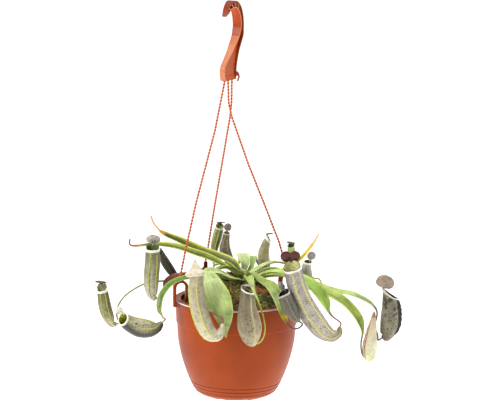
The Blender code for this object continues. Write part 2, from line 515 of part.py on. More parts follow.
def make_clip(name, angle):
    """A saddle over the pot's rim: a short leg inside, a long one outside with a foot under the lip, and
    a neck on top."""
    a = radians(angle)
    outwards, sideways = Vector((cos(a), sin(a), 0)), Vector((-sin(a), cos(a), 0)) * CLIP_WIDE / 2
    middle, bow = (CLIP_INNER_R + CLIP_OUTER_R) / 2, (CLIP_OUTER_R - CLIP_INNER_R) / 2
    arc = [pi * (1 - k / 8) for k in range(9)]
    path = [(CLIP_INNER_R, 109)] + [(middle + bow * cos(t), CLIP_SHOULDER_Z + bow * sin(t)) for t in arc]
    path += [(CLIP_OUTER_R, 103.4)]
    line = [Vector((r, z)) for r, z in path]
    rings = []
    for p, along in zip(line, tangents(line)):
        off = Vector((-along.y, along.x)) * CLIP_THICK / 2
        edges = [outwards * q.x + UP * q.y for q in (p - off, p + off)]
        rings.append([edges[0] - sideways, edges[0] + sideways, edges[1] + sideways, edges[1] - sideways])
    bm = bmesh.new()
    skin(bm, rings)
    clip = put(name, bm, "hanger_plastic")
    bm = bmesh.new()
    near, far = CLIP_FOOT_R
    low, high = CLIP_FOOT_Z
    corners = [(near, low), (far, low), (far, high), (near, high)]
    sides = (-sideways * 0.92, sideways * 0.92)
    skin(bm, [[outwards * r + UP * z + side for r, z in corners] for side in sides])
    cut_or_join(clip, put(name + "_foot", bm, "hanger_plastic"), "UNION")
    neck_foot = CLIP_SHOULDER_Z + bow - 0.6
    at = clip_neck(angle, 0)
    neck = turned([(0, neck_foot), (CLIP_NECK_R + 1.4, neck_foot), (CLIP_NECK_R, neck_foot + 4),
                   (CLIP_NECK_R, CLIP_TOP_Z), (0, CLIP_TOP_Z)], 10, (at.x, at.y))
    cut_or_join(clip, put(name + "_neck", neck, "hanger_plastic"), "UNION")
    low, high = CLIP_TOP_Z - 4, CLIP_TOP_Z + 2
    socket = turned([(0, low), (SOCKET_R, low), (SOCKET_R, high), (0, high)], 10, (at.x, at.y))
    cut_or_join(clip, put(name + "_socket", socket, "hanger_plastic"), "DIFFERENCE")


# Each strand's route between its socket in the hook and its clip
STRANDS = {
    "strand_left": (0, "clip_left", [(-27, -9, 301), (-47, -14, 219), (-58, -17, 166)]),
    "strand_right": (1, "clip_right", [(-12.5, 6.5, 330), (-9, 10, 314), (10, 19, 260), (30, 28, 210),
                                       (46, 34, 169)]),
    "strand_back_left": (2, "clip_back_left", [(-9.5, 15, 330), (-11, 18, 312), (-19, 27, 259),
                                               (-27, 38, 207), (-33, 48, 164)]),
}


def strand_route(socket, clip, between):
    """From inside the hook's socket, straight out of it, along the route and into the clip's socket."""
    foot = HOOK_SPINE[-1][0][1]
    angle = CLIP_ANGLES[clip]
    top = hook_point(SOCKETS[socket], foot + 4)
    mouth = hook_point(SOCKETS[socket], foot - 1)
    ends = [clip_neck(angle, CLIP_TOP_Z + 1), clip_neck(angle, CLIP_TOP_Z - 3)]
    return [top, mouth] + [Vector(p) for p in between] + ends


def make_strand(name, route):
    curve = bpy.data.curves.new(name, "CURVE")
    curve.dimensions = "3D"
    curve.bevel_depth = STRAND_R * MM
    curve.bevel_resolution = 2
    curve.use_fill_caps = True
    points = smooth(stepped(route), 2)
    spline = curve.splines.new("POLY")
    spline.points.add(len(points) - 1)
    for point, place in zip(spline.points, points):
        point.co = (*(place * MM), 1)
    obj = bpy.data.objects.new(name, curve)
    curve.materials.append(material("strand_cord"))
    bpy.context.scene.collection.objects.link(obj)
    obj.parent = bpy.data.objects["plant_frame"]


def make_knot():
    """The strand end that is tied off beside the hook's plate."""
    foot = HOOK_SPINE[-1][0][1]
    stations = ((11.6, 9), (12.2, 5), (13.4, 1), (12.6, -3))
    path = [hook_point(along, foot + above) for along, above in stations]
    bm = bmesh.new()
    skin(bm, strap(path, (1.4, 2, 2.2, 1.2), [VIEWER] * 4, 0, thick=3.6, edge=2.6))
    put("strand_knot", bm, "strand_cord")


# Plant

def leaf_path(leaf):
    """Path, half widths and upper sides from the stem to where the pitcher begins."""
    around, height = radians(leaf.base[0]), leaf.base[1]
    start = STEM_R + 0.5
    base = (STEM_X + start * cos(around), STEM_Y + start * sin(around), height, 2.2)
    out = (STEM_X + (start + 4) * cos(around), STEM_Y + (start + 4) * sin(around), height + 1, 3)
    stations = [base, out] + leaf.blade + [(*p, TENDRIL_R) for p in leaf.tendril]
    if leaf.pitcher:
        foot, after = [Vector(p[:3]) for p in next(p for p in PITCHERS if p.name == leaf.pitcher).axis[:2]]
        back = (foot - after).normalized()
        stations += [(*(foot + back * off), TENDRIL_R) for off in (5, GAP)]
    blades = len(leaf.blade) + 1
    fine = smooth(stations, 2)
    path = [p.xyz for p in fine]
    widths = [max(p[3], TENDRIL_R) for p in fine]
    faces = []
    for i, along in enumerate(tangents(path)):
        if i <= 2 * blades:
            faces.append(Vector(leaf.face_base).lerp(Vector(leaf.face_tip), i / (2 * blades)))
        else:
            faces.append(square_to(faces[-1], along))
    return path, widths, faces


def make_leaf(leaf):
    bm = bmesh.new()
    path, widths, faces = leaf_path(leaf)
    skin(bm, strap(path, widths, faces, radians(leaf.fold)))
    put(leaf.name, bm, leaf.colour)


def pitcher_rings(pitcher):
    """Rings of the outside from foot to mouth, then of the inside from the mouth down, and the frame of
    the mouth."""
    fine = smooth(pitcher.axis, 2 if len(pitcher.axis) < 7 else 1)
    path, radii = [p.xyz for p in fine], [max(p[3], 0.8) for p in fine]
    sides, last = PITCHER_SIDES, len(path) - 1

    def ring(i, inset, lift=0.0):
        along = tangents(path)[i]
        to_hinge = square_to(Vector(pitcher.hinge), along)
        side = along.cross(to_hinge)
        r = radii[i] - inset
        rise = pitcher.rise * max(0, 1 - (last - i) / 2) if pitcher.open else 0
        points = []
        for a in (2 * pi * k / sides for k in range(sides)):
            up = rise * ((1 + cos(a)) / 2) ** 1.5 + lift
            points.append(path[i] + along * up + (to_hinge * cos(a) + side * sin(a)) * r)
        return points

    rings = [ring(i, 0) for i in range(len(path))]
    if pitcher.open:
        deepest = next(i for i in range(len(path)) if radii[i] > PITCHER_WALL + 2.2)
        rings += [ring(i, PITCHER_WALL) for i in range(last, deepest, -1)]
        rings.append(ring(deepest, PITCHER_WALL + 0.9, 1.5))
    along = tangents(path)[-1]
    return rings, (path[-1], along, square_to(Vector(pitcher.hinge), along), radii[-1])


def make_pitcher(pitcher):
    bm = bmesh.new()
    rings, (mouth, along, to_hinge, r) = pitcher_rings(pitcher)
    skin(bm, rings)
    body = put(pitcher.name, bm, pitcher.colour)
    if not pitcher.open:
        return
    length, width = pitcher.lid
    out, face = Vector(pitcher.lid_to).normalized(), Vector(pitcher.lid_face)
    top = mouth + to_hinge * (r - PITCHER_WALL / 2) + along * pitcher.rise
    path = [top - along * 2, top + along * 0.5]
    path += [top + along * 1.3 + out * 2 * length * share for share in (0.06, 0.3, 0.58, 0.86, 1)]
    widths = (1.2, 1.4, 0.3 * width, 0.85 * width, width, 0.75 * width, 0.3 * width)
    bm = bmesh.new()
    faces = [to_hinge, to_hinge * 0.7 + face * 0.3] + [face] * 5
    skin(bm, strap(path, widths, faces, 0, thick=1.3, edge=0.9))
    cut_or_join(body, put(pitcher.name + "_lid", bm, pitcher.colour), "UNION")


def main():
    for obj in list(bpy.data.objects):
        bpy.data.objects.remove(obj)
    frame = bpy.data.objects.new("plant_frame", None)
    frame.location = Vector((-HOOK_X, -HOOK_Y, -HOOK_DROP)) * MM
    bpy.context.scene.collection.objects.link(frame)

    make_pot()
    make_potting_mix()
    make_stem()
    make_mound("moss_left", -45, -12, (8, 12), 4, "moss")
    make_mound("moss_front", -6, -4, (9, 7), 4, "moss")
    make_mound("moss_right", 33, -27, (12, 7), 3, "moss", 0.3)
    make_mound("bark_chip_front", 27, -8, (5, 2.6), 3.2, "bark", 0.5)
    make_mound("bark_chip_left", -50, 12, (5, 2.6), 3.4, "bark", 1.9)
    make_hook()
    make_knot()
    for name, angle in CLIP_ANGLES.items():
        make_clip(name, angle)
    for name, (socket, clip, between) in STRANDS.items():
        make_strand(name, strand_route(socket, clip, between))
    for leaf in LEAVES:
        make_leaf(leaf)
    for pitcher in PITCHERS:
        make_pitcher(pitcher)


main()
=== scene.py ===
"""Looks of the hanging pitcher plant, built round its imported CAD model.

Laid out as a Blender add-on and run as a script. Sizes and places are millimetres from the middle
of the pot's base, the plant's own frame, and turn into metres of the model's frame in in_place().
"""

from functools import cache
from math import copysign, cos, exp, hypot, pi, radians, sin, sqrt, tan
from random import Random
from typing import NamedTuple

import bpy
from mathutils import Matrix, Vector, kdtree, noise


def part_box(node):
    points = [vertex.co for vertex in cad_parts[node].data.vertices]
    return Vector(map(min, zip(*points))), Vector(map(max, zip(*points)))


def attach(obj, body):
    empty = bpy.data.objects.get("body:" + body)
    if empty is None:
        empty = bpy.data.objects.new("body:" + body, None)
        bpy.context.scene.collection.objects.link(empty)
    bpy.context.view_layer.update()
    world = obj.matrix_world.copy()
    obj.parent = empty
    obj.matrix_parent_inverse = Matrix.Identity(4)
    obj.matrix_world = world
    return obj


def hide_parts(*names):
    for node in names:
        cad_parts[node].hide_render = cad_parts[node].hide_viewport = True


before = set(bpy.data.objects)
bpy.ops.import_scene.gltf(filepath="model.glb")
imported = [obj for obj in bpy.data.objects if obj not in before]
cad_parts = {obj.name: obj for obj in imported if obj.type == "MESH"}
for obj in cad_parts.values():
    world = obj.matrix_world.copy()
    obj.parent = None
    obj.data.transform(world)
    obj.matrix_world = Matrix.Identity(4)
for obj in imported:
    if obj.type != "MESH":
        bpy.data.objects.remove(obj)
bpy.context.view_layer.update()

bl_info = {
    "name": "Hanging Pitcher Plant",
    "version": (1, 0, 0),
    "blender": (4, 5, 0),
    "location": "3D View > Sidebar > Plant",
    "description": "A pitcher plant in a hanging pot, with its hook, strands and clips",
    "category": "Add Mesh",
}

MM = 0.001
UP = Vector((0, 0, 1))
POT_LOW, POT_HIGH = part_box("pot")
PLANT = Vector(((POT_LOW.x + POT_HIGH.x) / 2, (POT_LOW.y + POT_HIGH.y) / 2, POT_LOW.z))
RIM_R = (POT_HIGH.x - POT_LOW.x) / 2 / MM
POT_HEIGHT = (POT_HIGH.z - POT_LOW.z) / MM

# Pot
RIM_INSIDE_R = 62
COLLAR_FOOT_Z = 83.5
BOWL = [(37, 1.6), (41.5, 3.2), (46.2, 7.2), (50.3, 14.5), (54.8, 25), (58.9, 36.5),
        (62.2, 48), (64.7, 60), (66, 71), (66.5, 82.7)]
GROOVE_Z = (8.5, 13, 17.5)
FOOT_R, FOOT_NOTCHES = 34, 8
DRAIN_R, DRAIN_CIRCLE_R, DRAINS = 3, 21, 4
MIX_EDGE_Z, MIX_RISE, MIX_R = 104, 15, 61
HUMMOCKS = ((20, -9, 14, 26, 24), (5, 4, -34, 46, 22), (11, 30, 22, 17, 18),
            (20, -50, 8, 12, 16))  # rise, place and spread of each
MOSS = {  # place, size and turn of the bed, and (x, y, spread, count) of the strands
    "moss_left": ((-45, -12), (8, 12), 0, ((-42, -20, 10, 500), (-36, 6, 9, 300))),
    "moss_front": ((-6, -4), (9, 7), 0, ((-14, 8, 14, 1100), (-6, -34, 13, 320), (-22, -8, 9, 260))),
    "moss_right": ((33, -27), (12, 7), 0.3, ((28, -40, 10, 320), (36, -14, 9, 160), (24, 22, 10, 260))),
}
MOSS_RISE, CHIP_RISE = 2, 4.4
STEM_X, STEM_Y, STEM_R = 10, 6, 5

# Hanger: the hook's plate stands turned about its own foot
HOOK_X, HOOK_Y, HOOK_Z = -11, 10, 413
HOOK_TURN = radians(65)
CROWN_OUT, CROWN_IN = (22, 30), (14.8, 22)
TIP_OUT, TIP_IN = 151, 124
FLANGE, WEB = 1.9, 2.4
SPINE = [((22.6, -10), (10.8, -10), 9.4), ((18.3, -19), (2.8, -19), 8.2), ((14.6, -27), (-4.8, -27), 7),
         ((12.3, -35), (-12.6, -34), 6), ((10.4, -43), (-21.5, -42.5), 5.4),
         ((9.4, -50), (-21.6, -50), 5.6), ((8.6, -58), (-19.6, -57), 5.6)]
SOCKETS = (-15, -6, 3.6)
CLIP_ANGLES = {"clip_left": 196, "clip_back_left": 124, "clip_right": 33}
CLIP_INNER_R, CLIP_OUTER_R = 58.2, 72
CLIP_THICK, CLIP_WIDE = 2.9, 6
CLIP_SHOULDER_Z, CLIP_TOP_Z = 125, 140
STRAND_R = 1.1
STRANDS = {
    "strand_left": (0, "clip_left", [(-27, -9, 301), (-47, -14, 219), (-58, -17, 166)]),
    "strand_right": (1, "clip_right", [(-12.5, 6.5, 330), (-9, 10, 314), (10, 19, 260), (30, 28, 210),
                                       (46, 34, 169)]),
    "strand_back_left": (2, "clip_back_left", [(-9.5, 15, 330), (-11, 18, 312), (-19, 27, 259),
                                               (-27, 38, 207), (-33, 48, 164)]),
}
STRAND_LEG = 12
PLY_R, PLY_OFF = 0.68, 0.7
KNOT = ((11.2, 8, 2), (11.9, 6, 3.8), (12.8, 4.4, 3), (12.2, 4, 1.4), (11, 5.2, 2), (11.6, 5.4, 3.8),
        (13, 3, 4.2), (13.6, 0.6, 3.6), (13, -1.6, 3), (12.6, -3, 3.2))  # beside the plate's foot
TENDRIL_R = 0.9

# Finishes and stage
PLASTIC_GRAIN = 0.9
PALE_BAND = "F2EFE2"
AIM, ROLL = (12.9, 0, 221.9), radians(0.95)
FLOOR_GLOW = 0.62
LIGHTS = (("window", (-1500, -900, 1500), 0.8, 42), ("ceiling", (200, 200, 2000), 1.4, 24),
          ("room", (1900, -200, 500), 1.2, 14))  # place, size in metres and power in watts


class Leaf(NamedTuple):
    """A leaf from its base on the stem to its tip, and the tendril that its midrib runs on as."""
    name: str
    base: tuple  # direction round the stem in degrees, height
    blade: list  # (x, y, z, half width)
    tendril: list  # (x, y, z)
    pitcher: str = ""  # what hangs on the tendril
    face_base: tuple = (0, 0, 1)  # where the upper side looks, at the base and at the tip
    face_tip: tuple = (0, 0, 1)
    fold: float = 18  # degrees that each half rises from the midrib
    slot: str = "leaf_green"
    shade: str = ""  # the blade's own colour, where it isn't that of its kind
    margin: tuple = ("C9CC6A", 0.86)  # the edge's colour, and how far out from the midrib it starts
    trough: tuple = ("C2C877", 0.11)  # the same for the midrib, and how far out it ends
    tip: str = ""  # a withered tip's colour
    tip_from: float = 0.9  # where on the blade it starts
    tail: str = "7A4A34"  # the tendril's colour


class Pitcher(NamedTuple):
    """A pitcher from its foot on the tendril to its mouth."""
    name: str
    axis: list  # (x, y, z, radius)
    slot: str
    wall: tuple  # colours of the foot, the middle and the top
    spots: tuple  # colour and how many, 0 to 1
    hinge: tuple = (0, 1, 0)  # the side of the mouth that carries the lid
    rise: float = 4  # how much higher the mouth stands at the hinge
    lid: tuple = (4, 4.5)  # half length and half width
    lid_to: tuple = (0, -1, 0.3)  # from the hinge to the lid's tip
    lid_face: tuple = (0, 0.3, 1)  # where the lid's upper side looks
    lid_colour: str = "6E6258"
    lobes: float = 0  # where the lid is cleft in two, how far each half leans from the middle
    open: bool = True
    band: tuple = (0.9, 2.2)  # how white the band under the lip is, and its depth
    lip: tuple = ("F2EFE2", "F2EFE2")  # the rolled lip's colours in front and by the hinge
    lip_wide: float = 0.6  # half width of the rolled lip
    inside: str = "4A5A22"
    wing: str = "C3C95C"
    wings: tuple = (1.3, 0.1, 0.9)  # height, and where they start and stop
    wing_at: tuple = (180, 27)  # middle of the two wings round from the hinge, and each one's way from it
    striped: float = 0.7  # how strongly the wings' colour spreads on to the wall
    blotched: float = 0.26  # how large the dark blotches grow, as a share of their spacing
    shaded: float = 0.25  # how much painted shade darkens the wall on the side away from the wings
    hairs: bool = False


# Places of the leaves and pitchers, close to those of the CAD model
LEAVES = [
    Leaf("leaf_left_long", (148, 139), [(-6, 16, 147, 5), (-23, 24, 152, 6), (-45, 30, 158, 6),
         (-66, 33, 167, 5.4), (-84, 34, 175, 3.4)], [(-90, 34, 181), (-95, 34, 187), (-98.5, 34, 195.5)],
         face_base=(0, -0.5, 1), face_tip=(0, -0.6, 1), fold=28, shade="6C7C2C", margin=("CFC84E", 0.7),
         trough=("45541A", 0.6), tip="D2A048", tip_from=0.95, tail="D9A052"),
    Leaf("leaf_left_lower", (176, 134), [(-10, 7, 142, 3.5), (-28, 11, 151, 5), (-48, 15, 157, 5.4),
         (-69, 19, 163, 5), (-93, 22, 165, 3.2), (-113, 22, 163.5, 1.6)], [(-121, 22, 164.5),
         (-121.5, 22, 171)], face_base=(0, -0.5, 1), face_tip=(0, -0.6, 1), fold=24, shade="7C8A32",
         margin=("CDC24A", 0.74), trough=("4E5C1C", 0.5), tip="93502E", tip_from=0.97, tail="8A4A2C"),
    Leaf("leaf_front_left", (232, 131), [(-6, -14, 137, 3.6), (-20, -27, 146, 4.2), (-31, -42, 149, 6),
         (-28, -59, 141, 10.5), (-21, -73, 126, 14.4), (-14, -78, 109, 11), (-11.5, -78, 88, 2.4)],
         [(-11, -77.5, 83)], face_base=(0, -0.2, 1), face_tip=(0.1, -1, 0.1), fold=4, slot="leaf_pale",
         shade="A9BC72", tip="A9B56A", tip_from=0.96, tail="A9A05A"),
    Leaf("leaf_left_curled", (200, 138), [(-6, 0, 144, 3.4), (-17, -7, 146, 4), (-25, -16, 143, 2.2)],
         [(-28, -34, 134), (-30, -52, 125), (-33, -66, 118.5), (-34, -73, 115.5), (-32.5, -78, 113.5),
         (-28.5, -81.5, 111.5), (-23, -83, 109.5), (-18, -84, 107)], "pitcher_front_left",
         face_base=(0, 0.3, 1), fold=25, slot="leaf_dark", tail="8E5C44"),
    Leaf("leaf_centre_upright", (107, 138), [(8.5, 16, 147, 5), (6, 24, 156, 8), (4, 34, 154, 6),
         (3, 40, 146, 2.4)], [(0, 44, 138), (-2, 47, 134)], "pitcher_back_brown", face_base=(0, -1, 0.3),
         face_tip=(0, 0.6, 0.8), fold=-4, slot="leaf_pale", shade="AEBE7E", tail="8A9A50"),
    Leaf("leaf_back_small", (70, 136), [(16.5, 18.5, 144, 3), (18, 29, 152, 4), (20, 38, 148, 2.2)],
         [(26, 46, 136), (33, 53, 126)], "pitcher_back_centre", face_base=(0, -1, 0.3),
         face_tip=(0, 0.6, 0.8), fold=14, slot="leaf_dark", shade="8FA65A", tail="7C7A44"),
    Leaf("leaf_right_upper", (30, 138), [(25, 15, 143, 4), (37, 20, 147, 4.2), (47, 21, 148, 2.8)],
         [(56, 22, 146)], face_base=(-0.2, -0.3, 1), fold=12, slot="leaf_pale", shade="A5B472",
         tip="C0B868", tip_from=0.94, tail="A8A860"),
    Leaf("leaf_right_yellow", (30, 133), [(26, 13, 134.5, 1.6), (40, 16.5, 136.5, 1.8),
         (52, 18, 140, 2.2), (64, 18, 147, 2.8), (75, 17, 157, 2.7), (84, 16, 170, 1.8)], [(91, 15, 183)],
         face_base=(-0.2, -0.4, 1), face_tip=(-0.6, -0.8, 0.5), fold=12, slot="leaf_dry", shade="D8BC3A",
         margin=("E8D86A", 0.7), trough=("B08A2C", 0.2), tip="DFA850", tip_from=0.93, tail="E2C08A"),
    Leaf("leaf_right_front", (-47, 138), [(27, -13, 133, 4.6), (38, -28, 130, 6.4), (46, -42, 121, 6.2),
         (51, -54, 110, 5.4), (53.5, -60, 102, 3.6)], [(57, -64, 96), (62, -68, 92), (68, -71, 93)],
         "pitcher_right_grey", face_base=(-0.1, 0.2, 1), face_tip=(-0.3, -0.9, 0.5), fold=20,
         shade="7F9142", tip="CDB83E", tip_from=0.9, tail="4E4A40"),
    Leaf("leaf_front", (-84, 134.5), [(12, -18, 138, 5), (15, -35, 136, 4), (18, -50, 131, 2)],
         [(24, -66, 121), (29.5, -75, 106), (31.5, -76.5, 92), (29, -74.5, 81), (24.5, -73, 76)],
         "pitcher_front", face_base=(0, -0.1, 1), fold=24, shade="8FA44C", tail="A9B43C"),
    Leaf("leaf_right_short", (-28, 132), [(34, -5, 141, 3.6), (52, -14, 143, 4.6), (73, -25, 136.5, 7.8),
         (89, -32, 125, 8.8), (97, -35, 114, 7), (101, -37, 106, 2.6)], [(107, -38.5, 99)],
         "pitcher_front_right", face_base=(0, -0.2, 1), face_tip=(0.45, -0.7, 0.6), fold=22,
         shade="93B04C", tail="9A7460"),
    Leaf("leaf_right_arching", (-2, 129), [(33, 3, 137, 3.6), (58, 2, 136, 5.6), (95, -6, 121, 7.4),
         (118, -12, 110, 8.4), (134, -17, 93, 7.6), (140.5, -22, 79, 2.2)], [(139.5, -21.5, 69),
         (139.5, -19.5, 60), (141.5, -15, 51), (145, -13, 46.5)], "pitcher_bud", face_base=(0, -0.3, 1),
         face_tip=(0.7, -0.5, 0.5), fold=20, shade="A4B650", trough=("7E9236", 0.16), tail="4C5426"),
    Leaf("leaf_right_back", (22, 125), [(34, 16, 132, 3.6), (62, 20, 131, 5.2), (103, 15, 118, 5.8),
         (129, 9, 114, 5.4), (149, 1, 107, 3)], [(157, -5, 98), (155, -11, 84), (158, -13, 73)],
         "pitcher_far_right", face_base=(0, -0.3, 1), face_tip=(0.4, -0.4, 1), fold=18, shade="93AA5A",
         tail="5A4430"),
    Leaf("leaf_left_hanging", (212, 125), [(-14, -5, 133, 3.4), (-42, -16, 137, 3.8), (-68, -26, 133, 4),
         (-81, -36, 120, 5), (-84, -44, 107, 4)], [(-82, -48, 99), (-79, -48, 96)], "pitcher_left_lying",
         face_base=(0, -0.2, 1), face_tip=(-0.7, -0.7, 0.3), fold=30, shade="6A883A", tail="8C8A3C"),
    Leaf("leaf_left_dried", (188, 130), [(-14, 4, 135, 2.6), (-38, 2, 137, 2.8), (-58, 1, 134, 4),
         (-70, 2, 131, 5.2), (-79, 3, 126, 3.4)], [(-82, 3, 117), (-83, 4, 109), (-86, 4, 104)],
         "pitcher_left_upright", face_base=(0, -0.4, 1), face_tip=(0, -1, 0.5), fold=24, slot="leaf_dry",
         shade="7C4630", margin=("A8683C", 0.8), trough=("5C3020", 0.2), tip="6A3A28", tip_from=0.8,
         tail="6A5230"),
    Leaf("leaf_right_inner", (2, 135), [(24, 6, 139, 2.2), (37, 7.5, 143, 2.6), (48, 9, 142, 2)],
         [(56, 11, 137), (64, 12, 127), (75, 17, 118.5), (88, 27, 117), (95, 31, 121)],
         "pitcher_right_back", face_base=(0, -0.2, 1), fold=22, slot="leaf_dark", tail="A0AA48"),
    Leaf("leaf_left_trailing", (161, 126), [(-14, 12, 131, 3), (-42, 14, 131, 3.4), (-66, 13, 128, 3),
         (-80, 13, 126, 2)], [(-92, 15.5, 124), (-104, 12, 122), (-115, 2, 118), (-125, -7, 112),
         (-132, -9, 102), (-134, -9, 91), (-131, -9, 82)], "pitcher_far_left", face_base=(0, -0.3, 1),
         fold=20, slot="leaf_dark", shade="5F7A2E", tail="74903C"),
    Leaf("leaf_back_left", (128, 134), [(-4, 24, 139, 3), (-14, 40, 141, 3.4), (-22, 53, 138, 2)],
         [(-27, 61, 134)], "pitcher_back_green", face_base=(0, -0.2, 1), fold=18, slot="leaf_dark",
         tail="7A8C40"),
    Leaf("leaf_left_withered", (150, 123), [(-10, 18, 127, 2.6), (-34, 24, 130, 3), (-54, 24, 129, 2.4)],
         [(-61, 23, 127)], "pitcher_left_withered", face_base=(0, -0.3, 1), fold=20, slot="leaf_dry",
         shade="8A5A34", margin=("A8784A", 0.8), trough=("5C3A24", 0.2), tail="6E4430"),
    Leaf("leaf_right_rear", (50, 130), [(22, 20, 137, 3), (38, 26, 139, 3.4), (51, 27, 136, 2)],
         [(60, 29.5, 132)], "pitcher_back_small", face_base=(0, -0.2, 1), fold=18, slot="leaf_dark",
         tail="8C9A4C"),
]

